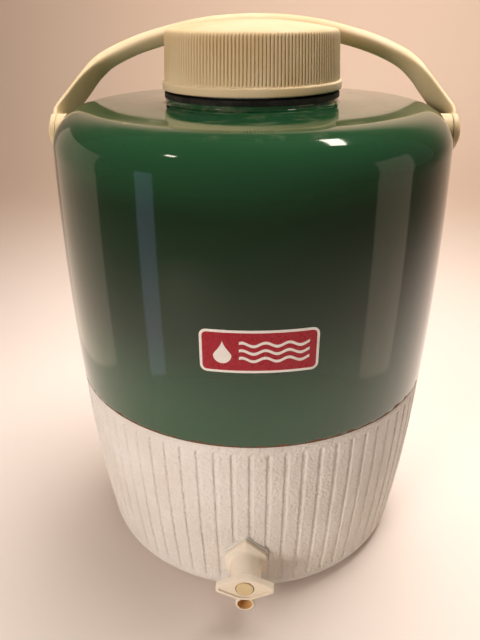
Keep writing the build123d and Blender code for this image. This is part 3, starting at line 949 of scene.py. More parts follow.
@dataclass
class FlutedBase:
    """The white moulded base cup with its upright grooves and the faucet's flat pad."""

    finishes: Finishes
    low_r: float = 115.5
    top_r: float = 124.7
    seam_z: float = 137.4
    corner_r: float = 16.0
    belly: float = 1.9
    wall: float = 3.0
    tuck_r: float = 124.0
    tuck_top_z: float = 151.4
    recess_in: float = 42.0
    recess_out: float = 88.0
    recess_depth: float = 1.6
    grooves: int = 72
    groove_half_w: float = 1.75
    groove_depth: float = 1.0
    groove_low_z: float = 14.5
    groove_high_z: float = 131.9
    groove_turn: float = 1.5
    pad_y: float = 121.0
    pad_axis_z: float = 42.0
    pad: tuple[float, float, float] = (14.5, 20.3, 6.6)
    pad_t: float = 7.0

    def side(self) -> Bow:
        """Gives the bellied side."""
        middle_r = (self.top_r + self.low_r) / 2 + self.belly
        return Bow(
            (self.low_r, self.corner_r),
            (middle_r, (self.seam_z + self.corner_r) / 2),
            (self.top_r, self.seam_z),
        )

    def groove_at(self, across: float, height: float) -> float:
        """Gives how deep the groove is at a place.

        Args:
            across: Distance from the groove's middle line.
            height: Height above the floor.

        Returns:
            Depth in millimetres.
        """
        past = max(
            self.groove_low_z + self.groove_half_w - height,
            height - self.groove_high_z + self.groove_half_w,
            0.0,
        )
        inside = self.groove_half_w - math.hypot(across, past)
        return self.groove_depth * smoothstep(0.0, 0.9, inside)

    def cup(self) -> bmesh.types.BMesh:
        """Makes one groove's slice of the cup and repeats it round.

        Returns:
            The closed cup.
        """
        side = self.side()
        tight_low = [17.0, 18.5, 21.0]
        run = [26.0, 36.0, 48.0, 60.0, 72.0, 84.0, 96.0, 108.0, 119.0]
        tight_high = [126.0, 128.5, 130.0, 130.8, 131.3, 131.8, 132.4, 134.0]
        heights = [*tight_low, *run, *tight_high]
        corner = self.low_r - self.corner_r
        profile = Lathe(0, 0)
        profile.to(self.recess_in, 0).to(self.recess_in + 0.8, self.recess_depth)
        profile.to(self.recess_out - 0.8, self.recess_depth).to(self.recess_out, 0)
        profile.to(corner, 0).round(corner, self.corner_r, 90, 14)
        profile.along(side, [*heights, self.seam_z - 0.5])
        profile.to(self.top_r - 0.4, self.seam_z).to(self.tuck_r, self.seam_z)
        profile.to(self.tuck_r, self.tuck_top_z)
        profile.to(self.tuck_r - self.wall, self.tuck_top_z)
        profile.to(self.tuck_r - self.wall, self.seam_z - self.wall)
        profile.along(side, reversed(run), self.wall)
        profile.to(self.low_r - self.wall, self.corner_r)
        profile.round(corner, self.corner_r, -90, 6)
        profile.to(0, self.wall)
        spread = [0.0, 0.22, 0.45, 0.62, 0.8, 1.1]
        offsets = sorted({sign * x for x in spread for sign in (-1, 1)})
        mesh = profile.slice(offsets, self.grooves)
        for vert in mesh.verts:
            outer = math.hypot(vert.co.x, vert.co.y)
            if vert.co.z < self.seam_z - 0.6 and outer > corner:
                near_side = side.radius_at(max(vert.co.z, self.corner_r))
                if outer < near_side - self.wall / 2 and vert.co.z > self.corner_r:
                    continue
                across = math.atan2(vert.co.y, vert.co.x) * outer
                cut = self.groove_at(across, vert.co.z)
                vert.co.xy *= (outer - cut) / outer
        repeat_round(mesh, self.grooves)
        turn_about_axis(mesh, self.groove_turn - 90)
        return mesh

    def faucet_pad(self) -> bmesh.types.BMesh:
        """Makes the flat raised pad that the faucet's flange lies on.

        Returns:
            The closed pad.
        """
        half_w, half_h, side_h = self.pad
        mesh = plate(six_sided(half_w, half_h, side_h), self.pad_t)
        soften(mesh, 1.4, is_upright)
        front = max(v.co.z for v in mesh.verts)
        soften(mesh, 0.5, lambda e: all(v.co.z > front - WELD for v in e.verts))
        bmesh.ops.translate(mesh, vec=(0, 0, self.pad_y - self.pad_t), verts=mesh.verts[:])
        return lay_forward(mesh, self.pad_axis_z)

    def build(self) -> None:
        """Hands the cup and its pad over as one piece."""
        mesh = join([self.cup(), self.faucet_pad()])
        hand_over(
            mesh,
            "fluted_base",
            [self.finishes.pebbled],
            Body.JUG,
            ("base_cup",),
            sharp_degrees=50.0,
        )


@dataclass
class RibbedLid:
    """The cream screw lid: plain rim, finely ribbed skirt and a low domed top."""

    finishes: Finishes
    ribs: int = 160
    rim_r: float = 55.7
    bottom_z: float = 321.9
    rim_h: float = 5.0
    skirt_r: float = 54.3
    top_r: float = 52.8
    corner_r: float = 3.4
    height: float = 33.5
    dome: float = 5.1
    inner_r: float = 50.3
    roof_z: float = 352.9
    rib_crest: float = 0.2
    rib_valley: float = 0.85

    def rib_at(self, share: float, height: float) -> float:
        """Gives how far the skirt stands off its plain cone at a place.

        Args:
            share: Place across one rib, -1 to 1 from valley to valley.
            height: Height above the floor.

        Returns:
            Stand-off in millimetres, negative in the valleys.
        """
        low, high = self.bottom_z + self.rim_h, self.bottom_z + self.height
        fade = smoothstep(low + 0.2, low + 1.4, height)
        fade *= 1 - smoothstep(high - 3.4, high - 1.0, height)
        valley = smoothstep(0.45, 1.0, abs(share))
        return fade * (self.rib_crest - (self.rib_crest + self.rib_valley) * valley)

    def build(self) -> None:
        """Makes one rib's slice of the lid, repeats it round and hands it over."""
        low = self.bottom_z + self.rim_h
        corner_z = self.bottom_z + self.height
        bend_z = corner_z - self.corner_r
        edge = self.top_r - self.corner_r
        slope = (self.skirt_r - self.top_r) / (bend_z - low)
        profile = Lathe(self.inner_r, self.roof_z)
        profile.to(self.inner_r, self.bottom_z + 0.4).to(self.inner_r + 0.4, self.bottom_z)
        profile.to(self.rim_r - 1.0, self.bottom_z)
        profile.round(self.rim_r - 1.0, self.bottom_z + 1.0, 90, 4)
        profile.to(self.rim_r, low - 1.0).round(self.rim_r - 1.0, low - 1.0, 90, 4)
        profile.to(self.skirt_r + 0.25, low)
        for height in (low + 0.25, low + 0.8, low + 1.5, 335.0, 343.0, 350.0):
            profile.to(self.skirt_r - slope * (height - low), height)
        profile.to(self.top_r, bend_z).round(edge, bend_z, 90, 7)
        big_r = (edge**2 + self.dome**2) / (2 * self.dome)
        fall = math.degrees(math.asin(edge / big_r))
        profile.round(0, corner_z + self.dome - big_r, fall, 10)
        profile.to(0, self.roof_z + self.dome)
        inner_big = (self.inner_r**2 + self.dome**2) / (2 * self.dome)
        drop = math.degrees(math.asin(self.inner_r / inner_big))
        profile.round(0, self.roof_z + self.dome - inner_big, -drop, 5)
        spread = 360 / self.ribs
        offsets = [spread / 2 * share for share in (-0.75, -0.45, 0.0, 0.45, 0.75)]
        mesh = profile.slice(offsets, self.ribs)
        for vert in mesh.verts:
            outer = math.hypot(vert.co.x, vert.co.y)
            if outer > self.inner_r + 0.1:
                share = math.degrees(math.atan2(vert.co.y, vert.co.x)) / (spread / 2)
                vert.co.xy *= (outer + self.rib_at(share, vert.co.z)) / outer
        hand_over(
            repeat_round(mesh, self.ribs),
            "ribbed_lid",
            [self.finishes.cream],
            Body.LID,
            ("lid_cap",),
            sharp_degrees=60.0,
        )


@dataclass
class NeckRing:
    """The dark ring that stands in the collar, round the tank's neck."""

    finishes: Finishes
    inner_r: float = 45.2
    outer_r: float = 52.9
    lip_r: float = 54.7
    low_z: float = 308.4
    lip_z: float = 317.5
    top_z: float = 320.5
    soft: float = 1.0

    def build(self) -> None:
        """Turns the ring and hands it over."""
        profile = Lathe(self.inner_r, self.low_z)
        profile.to(self.outer_r, self.low_z).to(self.outer_r, self.lip_z)
        profile.to(self.lip_r, self.lip_z).to(self.lip_r, self.top_z - self.soft)
        profile.round(self.lip_r - self.soft, self.top_z - self.soft, 90, 5)
        profile.to(self.inner_r + self.soft, self.top_z)
        profile.round(self.inner_r + self.soft, self.top_z - self.soft, 90, 5)
        profile.to(self.inner_r, self.low_z)
        hand_over(
            profile.turn(128),
            "neck_ring_moulding",
            [self.finishes.rubber],
            Body.JUG,
            ("neck_ring",),
        )


@dataclass
class BailHandle:
    """The cream bail: flat straps at the pivots that swell into a rounded grip."""

    finishes: Finishes
    pivot_z: float = 295.0
    lean_deg: float = 50.0
    reach: float = 97.0
    strap_x: float = 127.65
    strap: tuple[float, float] = (20.0, 3.0)
    grip: tuple[float, float] = (12.0, 10.0)
    strap_share: float = 0.36
    grip_share: float = 0.74
    hub_r: float = 11.5
    hub_hole_r: float = 5.05
    hub_face_x: float = 125.9
    hub_t: float = 3.5
    stations: tuple[tuple[float, float], ...] = (
        (1.0, 0.062),
        (1.0, 0.12),
        (0.97, 0.21),
        (0.935, 0.31),
        (0.895, 0.423),
        (0.85, 0.55),
        (0.77, 0.675),
        (0.59, 0.822),
        (0.3, 0.957),
        (0.0, 1.0),
    )
    corners: int = 24

    def line(self) -> list[Vector]:
        """Runs a smooth line through the stations, up one leg and down the other.

        Returns:
            Points as (across, up) in the bail's own plane.
        """
        leg = [Vector((x * self.strap_x, up * self.reach)) for x, up in self.stations]
        knots = leg + [Vector((-p.x, p.y)) for p in reversed(leg[:-1])]
        ends = [2 * knots[0] - knots[1], *knots, 2 * knots[-1] - knots[-2]]
        points: list[Vector] = []
        for a, b, c, d in zip(ends, ends[1:], ends[2:], ends[3:]):
            for k in range(4):
                t = k / 4
                points.append(
                    0.5
                    * (
                        2 * b
                        + (c - a) * t
                        + (2 * a - 5 * b + 4 * c - d) * t**2
                        + (3 * b - a - 3 * c + d) * t**3
                    )
                )
        return [*points, knots[-1]]

    def section(self, up: float) -> list[Vector]:
        """Gives the rounded section at a height up the leg.

        Args:
            up: Distance from the pivot line in the bail's plane.

        Returns:
            Points as (across the strap's width, through its thickness).
        """
        share = smoothstep(self.strap_share, self.grip_share, up / self.reach)
        wide = self.strap[0] + (self.grip[0] - self.strap[0]) * share
        thick = self.strap[1] + (self.grip[1] - self.strap[1]) * share
        # A squarer superellipse on the strap, rounder on the grip.
        power = 2 / (4.5 - 1.7 * share)
        shape = []
        for k in range(self.corners):
            c, s = (f(math.tau * k / self.corners) for f in (math.cos, math.sin))
            shape.append(
                Vector(
                    (
                        wide / 2 * math.copysign(abs(c) ** power, c),
                        thick / 2 * math.copysign(abs(s) ** power, s),
                    )
                )
            )
        return shape

    def bow_mesh(self) -> bmesh.types.BMesh:
        """Extrudes the section along the bail's line.

        Returns:
            The closed bow, without its hubs.
        """
        lean = math.radians(self.lean_deg)
        side_dir = Vector((0, -math.cos(lean), math.sin(lean)))
        up_dir = Vector((0, math.sin(lean), math.cos(lean)))
        origin = Vector((0, 0, self.pivot_z))
        points = self.line()
        mesh = bmesh.new()
        made = bmesh.ops.create_circle(mesh, cap_ends=True, radius=1, segments=self.corners)
        ring = made["verts"]
        face = mesh.faces[:][0]
        for index, point in enumerate(points):
            before = points[max(index - 1, 0)]
            after = points[min(index + 1, len(points) - 1)]
            run = (after - before).normalized()
            out_dir = Vector((run.y, 0, 0)) - up_dir * run.x
            if index:
                moved = bmesh.ops.extrude_face_region(mesh, geom=[face])["geom"]
                bmesh.ops.delete(mesh, geom=[face], context="FACES_ONLY")
                face = next(g for g in moved if isinstance(g, bmesh.types.BMFace))
                ring = [loop.vert for loop in face.loops]
            middle = origin + Vector((point.x, 0, 0)) + up_dir * point.y
            for vert, (a, b) in zip(ring, self.section(point.y)):
                vert.co = middle + side_dir * a + out_dir * b
        return close(mesh)

    def hub(self, sign: int) -> bmesh.types.BMesh:
        """Turns one round hub with its pivot hole.

        Args:
            sign: 1 for the right side and -1 for the left.

        Returns:
            The closed hub.
        """
        soft = 0.7
        profile = Lathe(self.hub_hole_r, 0).to(self.hub_r - soft, 0)
        profile.round(self.hub_r - soft, soft, 90, 3)
        profile.to(self.hub_r, self.hub_t - soft)
        profile.round(self.hub_r - soft, self.hub_t - soft, 90, 3)
        profile.to(self.hub_hole_r, self.hub_t).to(self.hub_hole_r, 0)
        mesh = profile.turn(64)
        place = Matrix.Translation((sign * self.hub_face_x, 0, self.pivot_z))
        bmesh.ops.transform(
            mesh,
            matrix=place @ Matrix.Rotation(math.radians(sign * 90), 4, "Y"),
            verts=mesh.verts[:],
        )
        return mesh

    def build(self) -> None:
        """Hands the whole bail over as one piece."""
        mesh = join([self.bow_mesh(), self.hub(1), self.hub(-1)])
        hand_over(
            mesh,
            "bail_handle",
            [self.finishes.cream],
            Body.HANDLE,
            ("handle",),
            sharp_degrees=60.0,
        )


@dataclass
class Faucet:
    """The push-button faucet: flange, barrel, finger plate, spout and button."""

    finishes: Finishes
    axis_z: float = 42.0
    flange_y: float = 121.8
    flange_t: float = 3.5
    flange: tuple[float, float, float] = (13.5, 19.0, 6.2)
    barrel_r: float = 10.0
    barrel_end_y: float = 141.3
    chamber_r: float = 7.0
    spout_z: float = 26.8
    spout_r: float = 6.0
    spout_bore_r: float = 4.6
    spout_front_y: float = 143.9
    spout_len: float = 15.0
    web_r: float = 5.0
    plate_t: float = 4.2
    plate_half: tuple[float, float] = (18.3, 9.2)
    plate_tip_h: float = 2.2
    plate_flat: float = 4.0
    plate_rim: float = 2.0
    plate_recess: float = 1.0
    bore_r: float = 6.0
    pip_x: float = 13.8
    button_r: float = 5.5
    button_front_y: float = 145.1
    button_back_y: float = 136.0

    def flange_mesh(self) -> bmesh.types.BMesh:
        """Makes the six-sided flange, its face drawn up towards the barrel.

        Returns:
            The closed flange.
        """
        half_w, half_h, side_h = self.flange
        mesh = plate(six_sided(half_w, half_h, side_h), self.flange_t - 1.2)
        soften(mesh, 1.2, is_upright)
        top = max(v.co.z for v in mesh.verts)
        face = [f for f in mesh.faces if all(v.co.z > top - WELD for v in f.verts)]
        bmesh.ops.inset_region(mesh, faces=face, thickness=0.35, depth=0.3)
        raised = bmesh.ops.extrude_face_region(mesh, geom=face)["geom"]
        bmesh.ops.delete(mesh, geom=face, context="FACES_ONLY")
        crest = [g for g in raised if isinstance(g, bmesh.types.BMVert)]
        bmesh.ops.scale(mesh, vec=(0.7, 0.7, 1), verts=crest)
        bmesh.ops.translate(mesh, vec=(0, 0, 0.9), verts=crest)
        bmesh.ops.translate(mesh, vec=(0, 0, self.flange_y), verts=mesh.verts[:])
        return lay_forward(mesh, self.axis_z)

    def barrel_mesh(self) -> bmesh.types.BMesh:
        """Turns the hollow barrel with a small flare at the flange.

        Returns:
            The closed barrel.
        """
        front = self.flange_y + self.flange_t
        foot = 2.4
        profile = Lathe(self.chamber_r, self.flange_y + 1)
        profile.to(self.barrel_r + foot, self.flange_y + 1)
        profile.to(self.barrel_r + foot, front - 0.4)
        profile.round(self.barrel_r + foot, front - 0.4 + foot, -90, 6)
        profile.to(self.barrel_r, self.barrel_end_y)
        profile.to(self.chamber_r, self.barrel_end_y)
        profile.to(self.chamber_r, self.flange_y + 1)
        return lay_forward(profile.turn(64), self.axis_z)

    def spout_mesh(self) -> bmesh.types.BMesh:
        """Turns the short spout, open in front and round behind.

        Returns:
            The closed spout, its bore marked for the stained finish.
        """
        front, back = self.spout_front_y, self.spout_front_y - self.spout_len
        lip = (self.spout_r - self.spout_bore_r) / 2
        profile = Lathe(0, back - self.spout_r)
        profile.round(0, back, 90, 8)
        profile.to(self.spout_r, front - lip)
        profile.round(self.spout_r - lip, front - lip, 180, 6)
        profile.to(self.spout_bore_r, back + 1).to(0, back + 1)
        mesh = profile.turn(48)
        for face in mesh.faces:
            middle = face.calc_center_median()
            deep = back + 0.5 < middle.z < front - lip / 2
            if deep and math.hypot(middle.x, middle.y) < self.spout_bore_r + 0.05:
                face.material_index = 1
        return lay_forward(mesh, self.spout_z)

    def web_mesh(self) -> bmesh.types.BMesh:
        """Turns the upright web that carries the drink down to the spout.

        Returns:
            The closed web.
        """
        drop = self.axis_z - self.spout_z
        profile = Lathe(0, 0).to(self.web_r, 0).to(self.web_r, drop * 0.35)
        profile.to(self.web_r + 0.8, drop * 0.75).to(self.web_r + 0.8, drop - 2).to(0, drop - 2)
        mesh = profile.turn(48)
        middle_y = -(self.spout_front_y - self.spout_len + 1.5)
        bmesh.ops.translate(mesh, vec=(0, middle_y, self.spout_z), verts=mesh.verts[:])
        return mesh

    def finger_plate(self) -> bmesh.types.BMesh:
        """Makes the long eight-sided finger plate with its sunk face and round bore.

        Returns:
            The closed plate.
        """
        half_w, half_h = self.plate_half
        outline = [
            (self.plate_flat, half_h),
            (-self.plate_flat, half_h),
            (-half_w, self.plate_tip_h),
            (-half_w, -self.plate_tip_h),
            (-self.plate_flat, -half_h),
            (self.plate_flat, -half_h),
            (half_w, -self.plate_tip_h),
            (half_w, self.plate_tip_h),
        ]
        mesh = bmesh.new()
        back = mesh.faces.new([mesh.verts.new((x, y, 0)) for x, y in outline])
        bmesh.ops.bevel(
            mesh,
            geom=back.verts[:],
            offset=1.0,
            affect="VERTICES",
            segments=3,
            profile=0.5,
            material=-1,
        )
        mesh.faces.ensure_lookup_table()
        made = bmesh.ops.extrude_face_region(mesh, geom=mesh.faces[:])["geom"]
        front = [g for g in made if isinstance(g, bmesh.types.BMFace)]
        bmesh.ops.translate(
            mesh,
            vec=(0, 0, self.plate_t),
            verts=[g for g in made if isinstance(g, bmesh.types.BMVert)],
        )
        bmesh.ops.recalc_face_normals(mesh, faces=mesh.faces[:])
        soften(
            mesh,
            0.6,
            lambda e: all(v.co.z > self.plate_t - WELD for v in e.verts) and len(e.link_faces) == 2,
        )
        front = [f for f in mesh.faces if f.calc_center_median().z > self.plate_t - WELD]
        face = max(front, key=lambda f: f.calc_area())
        bmesh.ops.inset_region(mesh, faces=[face], thickness=self.plate_rim - 0.6, depth=0)
        bmesh.ops.inset_region(mesh, faces=[face], thickness=0.3, depth=0)
        bmesh.ops.translate(mesh, vec=(0, 0, -self.plate_recess), verts=face.verts[:])
        back_face = min(mesh.faces, key=lambda f: f.calc_center_median().z)
        self.bore(mesh, face, back_face)
        bmesh.ops.translate(mesh, vec=(0, 0, self.barrel_end_y), verts=mesh.verts[:])
        return lay_forward(close(mesh), self.axis_z)

    def bore(
        self, mesh: bmesh.types.BMesh, front: bmesh.types.BMFace, back: bmesh.types.BMFace
    ) -> None:
        """Opens a round bore between two faces.

        Args:
            mesh: The plate's mesh.
            front: The sunk front face.
            back: The flat back face.
        """
        loops = []
        for face in (front, back):
            height = face.calc_center_median().z
            rim = face.edges[:]
            made = bmesh.ops.create_circle(
                mesh,
                cap_ends=False,
                radius=self.bore_r,
                segments=32,
                matrix=Matrix.Translation((0, 0, height)),
            )
            ring = list({e for v in made["verts"] for e in v.link_edges})
            bmesh.ops.delete(mesh, geom=[face], context="FACES_ONLY")
            bmesh.ops.triangle_fill(mesh, edges=rim + ring, use_beauty=True)
            loops += ring
        bmesh.ops.bridge_loops(mesh, edges=loops)

    def build(self) -> None:
        """Hands over the fixed body, the finger plate and the button."""
        body = join(
            [self.flange_mesh(), self.barrel_mesh(), self.web_mesh(), self.spout_mesh()]
        )
        hand_over(
            body,
            "faucet_moulding",
            [self.finishes.pale, self.finishes.spout],
            Body.JUG,
            ("faucet_body",),
            sharp_degrees=40.0,
        )
        hand_over(
            self.finger_plate(),
            "finger_plate",
            [self.finishes.pale],
            Body.JUG,
            ("faucet_finger_plate",),
            sharp_degrees=40.0,
        )
        soft = 0.7
        profile = Lathe(0, self.button_back_y).to(self.chamber_r - 0.1, self.button_back_y)
        profile.to(self.chamber_r - 0.1, self.button_back_y + 5)
        profile.to(self.button_r, self.button_back_y + 5)
        profile.to(self.button_r, self.button_front_y - soft)
        profile.round(self.button_r - soft, self.button_front_y - soft, 90, 4)
        profile.to(self.button_r - 1.6, self.button_front_y).to(0, self.button_front_y - 0.25)
        hand_over(
            lay_forward(profile.turn(48), self.axis_z),
            "push_button",
            [self.finishes.button],
            Body.BUTTON,
            ("faucet_button",),
        )


@dataclass
class FrontLabel:
    """The red label with a plain white border, a droplet and three waves."""

    finishes: Finishes
    side: Bow
    width: float = 65.0
    height: float = 26.0
    corner: float = 4.0
    middle_z: float = 203.0
    turn_deg: float = 3.5
    thick: float = 0.3
    border: float = 1.5
    gap: float = 0.05

    def outline(self, inset: float) -> bmesh.types.BMesh:
        """Makes a flat rounded rectangle on the XZ plane.

        Args:
            inset: How far its edge lies inside the label's.

        Returns:
            The flat face.
        """
        half_w, half_h = self.width / 2 - inset, self.height / 2 - inset
        mesh = bmesh.new()
        corners = [(half_w, half_h), (-half_w, half_h), (-half_w, -half_h), (half_w, -half_h)]
        mesh.faces.new([mesh.verts.new((x, 0, z)) for x, z in corners])
        bmesh.ops.bevel(
            mesh,
            geom=mesh.verts[:],
            offset=self.corner - inset,
            affect="VERTICES",
            segments=6,
            profile=0.5,
            material=-1,
        )
        return mesh

    def droplet(self) -> bmesh.types.BMesh:
        """Makes the flat droplet: a circle with its top drawn up to a point.

        Returns:
            The flat face.
        """
        mesh = bmesh.new()
        bmesh.ops.create_circle(mesh, cap_ends=True, radius=5.0, segments=40)
        bmesh.ops.rotate(
            mesh, cent=(0, 0, 0), matrix=Matrix.Rotation(math.radians(90), 3, "X"), verts=mesh.verts
        )
        for vert in mesh.verts:
            lift = smoothstep(-0.5, 5.0, vert.co.z)
            vert.co.x *= 1 - lift**1.4
            vert.co.z += 4.2 * lift**2
            vert.co += Vector((-20.0, 0, -2.2))
        return mesh

    def wave(self, middle_z: float) -> bmesh.types.BMesh:
        """Makes one flat wavy stripe.

        Args:
            middle_z: Its height from the label's middle.

        Returns:
            The flat stripe.
        """
        mesh = bmesh.new()
        bmesh.ops.create_grid(mesh, x_segments=48, y_segments=1, size=1.0)
        for vert in mesh.verts:
            across = 8.0 + 19.0 * vert.co.x
            rise = 1.1 * math.sin(across / 38.0 * 3 * math.tau)
            vert.co = (across, 0, middle_z + rise + 0.85 * vert.co.y)
        return mesh

    def wrap(
        self, mesh: bmesh.types.BMesh, lift: float, thick: float, index: int
    ) -> bmesh.types.BMesh:
        """Cuts a flat shape into strips, wraps it on the shell and gives it thickness.

        Args:
            mesh: A flat shape on the XZ plane about the label's middle.
            lift: Height of its outer face above the shell.
            thick: Its thickness.
            index: The material of its faces.

        Returns:
            The closed, curved shape.
        """
        for k in range(-12, 13):
            bmesh.ops.bisect_plane(
                mesh,
                geom=mesh.verts[:] + mesh.edges[:] + mesh.faces[:],
                plane_co=(k * self.width / 25 + 0.01, 0, 0),
                plane_no=(1, 0, 0),
            )
        for k in range(-2, 3):
            bmesh.ops.bisect_plane(
                mesh,
                geom=mesh.verts[:] + mesh.edges[:] + mesh.faces[:],
                plane_co=(0, 0, k * self.height / 5 + 0.01),
                plane_no=(0, 0, 1),
            )
        bmesh.ops.recalc_face_normals(mesh, faces=mesh.faces[:])
        if mesh.faces[:][0].normal.y > 0:
            bmesh.ops.reverse_faces(mesh, faces=mesh.faces[:])
        made = bmesh.ops.extrude_face_region(mesh, geom=mesh.faces[:])["geom"]
        outer = {g for g in made if isinstance(g, bmesh.types.BMVert)}
        turn = math.radians(self.turn_deg)
        for vert in mesh.verts:
            height = self.middle_z + vert.co.z
            radius = self.side.radius_at(height) + lift - (0 if vert in outer else thick)
            angle = vert.co.x / self.side.middle[0] + turn
            vert.co = (radius * math.sin(angle), -radius * math.cos(angle), height)
        for face in mesh.faces:
            face.material_index = index
        bmesh.ops.recalc_face_normals(mesh, faces=mesh.faces[:])
        return mesh

    def build(self) -> None:
        """Hands the label over as one piece of border, field and drawing."""
        top = self.gap + self.thick
        parts = [
            self.wrap(self.outline(0.0), top - 0.1, self.thick - 0.1, 0),
            self.wrap(self.outline(self.border), top - 0.05, 0.1, 1),
            self.wrap(self.droplet(), top, 0.1, 0),
        ]
        parts += [self.wrap(self.wave(z), top, 0.1, 0) for z in (-4.6, 0.0, 4.6)]
        hand_over(
            join(parts),
            "label_plate",
            [self.finishes.border, self.finishes.ink],
            Body.JUG,
            ("front_label",),
        )


@dataclass
class Hardware:
    """The fittings whose CAD shape is right: welded copies with a crisp smooth shade."""

    finishes: Finishes
    frame: dict[str, Any]

    def copy(self, node: str, name: str, finish: bpy.types.Material, body: Body, slot: Slot) -> None:
        """Hands over a welded copy of a CAD node.

        Args:
            node: The CAD node.
            name: The piece's name.
            finish: Its material.
            body: The body that carries it.
            slot: The record's slot; not used.
        """
        mesh = bmesh.new()
        mesh.from_mesh(self.frame["nodes"][node].data)
        bmesh.ops.scale(mesh, vec=(1 / MM, 1 / MM, 1 / MM), verts=mesh.verts[:])
        bmesh.ops.remove_doubles(mesh, verts=mesh.verts[:], dist=WELD)
        bmesh.ops.dissolve_limit(
            mesh, angle_limit=math.radians(0.5), verts=mesh.verts[:], edges=mesh.edges[:]
        )
        hand_over(mesh, name, [finish], body, (node,))

    def build(self) -> None:
        """Dresses the pivots, the inside and every other fitting."""
        f = self.finishes
        for side in ("left", "right"):
            for part, finish, slot in (
                ("pivot_boss", f.cream, Slot.CREAM),
                ("pivot_cap", f.cream, Slot.CREAM),
                ("pivot_screw", f.steel, Slot.STEEL),
                ("backing_plate", f.steel, Slot.STEEL),
            ):
                node = f"{side}_{part}"
                self.copy(node, node + "_finished", finish, Body.JUG, slot)
        for node, finish, body, slot in (
            ("inner_tank", f.tank, Body.JUG, Slot.TANK),
            ("body_insulation", f.foam, Body.JUG, Slot.FOAM),
            ("faucet_gasket", f.seal, Body.JUG, Slot.SEAL),
            ("faucet_washer", f.rubber, Body.JUG, Slot.RUBBER),
            ("faucet_nut", f.cream, Body.JUG, Slot.CREAM),
            ("return_spring", f.steel, Body.JUG, Slot.STEEL),
            ("lid_plug", f.tank, Body.LID, Slot.TANK),
            ("lid_insulation", f.foam, Body.LID, Slot.FOAM),
            ("lid_gasket", f.seal, Body.GASKET, Slot.SEAL),
            ("button_o_ring", f.rubber, Body.BUTTON, Slot.RUBBER),
            ("valve_stem", f.button, Body.BUTTON, Slot.BUTTON),
            ("valve_seal", f.seal, Body.BUTTON, Slot.SEAL),
        ):
            self.copy(node, node + "_finished", finish, body, slot)


# ---------------------------------------------------------------- the studio


class Reach(Enum):
    """What a light shows in: matt shading, glossy reflections or both."""

    BOTH = "both"
    MATT = "matt"
    GLOSS = "gloss"


@dataclass(frozen=True)
class Softbox:
    """One soft rectangular light."""

    name: str
    place: tuple[float, float, float]
    aim: tuple[float, float, float]
    size: tuple[float, float]
    power: float
    colour: str
    reach: Reach = Reach.BOTH
    spread_deg: float = 180.0

    def build(self) -> None:
        """Hangs the light and points it at its aim."""
        data = bpy.data.lights.new(self.name, "AREA")
        data.shape = "RECTANGLE"
        data.size, data.size_y = self.size
        data.energy = self.power
        data.color = linear(self.colour)[:3]
        data.spread = math.radians(self.spread_deg)
        lamp = bpy.data.objects.new(self.name, data)
        lamp.location = self.place
        aim = Vector(self.aim) - Vector(self.place)
        lamp.rotation_euler = aim.to_track_quat("-Z", "Y").to_euler()
        lamp.visible_camera = False
        lamp.visible_glossy = self.reach is not Reach.MATT
        lamp.visible_diffuse = self.reach is not Reach.GLOSS
        bpy.context.scene.collection.objects.link(lamp)


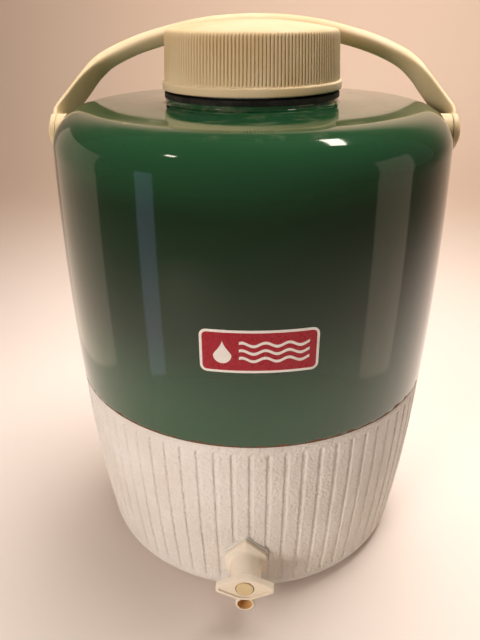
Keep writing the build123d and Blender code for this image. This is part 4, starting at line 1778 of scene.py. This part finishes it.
@dataclass
class Studio:
    """The pale floor, the soft light and the camera."""

    camera_place: tuple[float, float, float] = (10.54, -402.40, 363.30)
    pitch_deg: float = 27.07
    yaw_deg: float = -2.72
    roll_deg: float = -0.43
    lens: float = 33.75
    sensor: float = 36.0
    boxes: tuple[Softbox, ...] = (
        Softbox(
            "ceiling", (0.2, 0.25, 1.15), (0.06, 0.08, 0.1), (0.8, 0.8),
            4.2, "#fffaf6", Reach.MATT, 75,
        ),
        Softbox(
            "wall_wash", (0.35, 0.35, 1.5), (0.25, 1.4, 0.5), (1.4, 0.5),
            9.0, "#ffe4cc", Reach.MATT, 110,
        ),
        Softbox(
            "left_fill", (-0.6, -0.85, 0.42), (0, 0, 0.12), (0.35, 0.45),
            1.15, "#fff6f0", Reach.MATT, 70,
        ),
        Softbox(
            "room_lamp", (0.4, 0.1, 1.1), (0.04, -0.1, 0.3), (0.3, 0.1),
            1.4, "#fff3e2",
        ),
        Softbox(
            "far_lamp", (-0.48, -0.38, 0.91), (-0.03, -0.1, 0.3), (0.08, 0.04),
            0.16, "#fff3e2",
        ),
        Softbox(
            "door_gap", (-0.275, -0.255, 0.17), (-0.05, -0.12, 0.17), (0.06, 0.33),
            0.035, "#c3d4ff", Reach.GLOSS,
        ),
        Softbox(
            "right_card", (0.34, -0.12, 0.2), (0, -0.02, 0.2), (0.14, 0.4),
            0.07, "#ffe4c8", Reach.GLOSS,
        ),
        Softbox(
            "left_card", (-0.34, 0.06, 0.2), (0, 0, 0.2), (0.3, 0.4),
            0.13, "#ffe4c8", Reach.GLOSS,
        ),
    )

    def backdrop(self) -> None:
        """Makes the floor and the curved wall behind it."""
        mesh = bmesh.new()
        start = mesh.verts.new((-3.0, -3.0, 0))
        floor_end = mesh.verts.new((-3.0, 0.9, 0))
        mesh.edges.new((start, floor_end))
        made = bmesh.ops.spin(
            mesh,
            geom=[floor_end],
            cent=(-3.0, 0.9, 0.5),
            axis=(1, 0, 0),
            angle=math.radians(90),
            steps=16,
        )
        bend_end = next(v for v in made["geom_last"] if isinstance(v, bmesh.types.BMVert))
        top = bmesh.ops.extrude_vert_indiv(mesh, verts=[bend_end])["verts"][0]
        top.co.z = 2.6
        made = bmesh.ops.extrude_edge_only(mesh, edges=mesh.edges[:])["geom"]
        bmesh.ops.translate(
            mesh, vec=(6.0, 0, 0), verts=[g for g in made if isinstance(g, bmesh.types.BMVert)]
        )
        bmesh.ops.recalc_face_normals(mesh, faces=mesh.faces[:])
        data = bpy.data.meshes.new("backdrop")
        mesh.to_mesh(data)
        mesh.free()
        floor = bpy.data.objects.new("backdrop", data)
        bpy.context.scene.collection.objects.link(floor)
        dress(floor, [PaleFloor("matt_pale_card").build()])

    def camera(self) -> None:
        """Stands the camera in front, looking down at the jug."""
        pitch, yaw, roll = (
            math.radians(a) for a in (self.pitch_deg, self.yaw_deg, self.roll_deg)
        )
        forward = Vector(
            (math.sin(yaw) * math.cos(pitch), math.cos(yaw) * math.cos(pitch), -math.sin(pitch))
        )
        right = Vector((math.cos(yaw), -math.sin(yaw), 0))
        up = right.cross(forward)
        x_dir = right * math.cos(roll) + up * math.sin(roll)
        y_dir = up * math.cos(roll) - right * math.sin(roll)
        data = bpy.data.cameras.new("front_camera")
        data.lens = self.lens
        data.sensor_width = self.sensor
        data.clip_start = 0.01
        camera = bpy.data.objects.new("front_camera", data)
        turn = Matrix((x_dir, y_dir, -forward)).transposed().to_4x4()
        camera.matrix_world = Matrix.Translation(Vector(self.camera_place) * MM) @ turn
        bpy.context.scene.collection.objects.link(camera)
        bpy.context.scene.camera = camera

    def world(self) -> None:
        """Fills the room with dim warm light."""
        world = bpy.data.worlds.new("dim_warm_room")
        world.use_nodes = True
        tree = world.node_tree
        tree.nodes.clear()
        # Straight to the camera it is as pale as the backdrop; as a light it stays dim.
        room = linear("#e8d3be")
        glow = add_node(tree, "Background", None, {"Color": room, "Strength": 0.17})
        seen = add_node(tree, "Background", None, {"Color": room, "Strength": 0.6})
        straight = add_node(tree, "LightPath").outputs["Is Camera Ray"]
        both = add_node(
            tree, "MixShader", None, {0: straight, 1: glow.outputs[0], 2: seen.outputs[0]}
        )
        add_node(tree, "OutputWorld", None, {"Surface": both.outputs[0]})
        bpy.context.scene.world = world

    def build(self) -> None:
        """Sets up everything round the jug."""
        bpy.context.scene.view_settings.view_transform = "Standard"
        self.backdrop()
        self.camera()
        self.world()
        for box in self.boxes:
            box.build()


def main() -> None:
    """Loads the frame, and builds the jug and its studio."""
    logging.basicConfig(level=logging.INFO, format="%(name)s: %(message)s")
    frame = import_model()
    finishes = Finishes()
    shell = SteelShell(finishes)
    shell.build()
    FlutedBase(finishes).build()
    RibbedLid(finishes).build()
    NeckRing(finishes).build()
    BailHandle(finishes).build()
    Faucet(finishes).build()
    FrontLabel(finishes, shell.side()).build()
    Hardware(finishes, frame).build()
    Studio().build()
    bpy.context.view_layer.update()


if __name__ == "__main__":
    main()
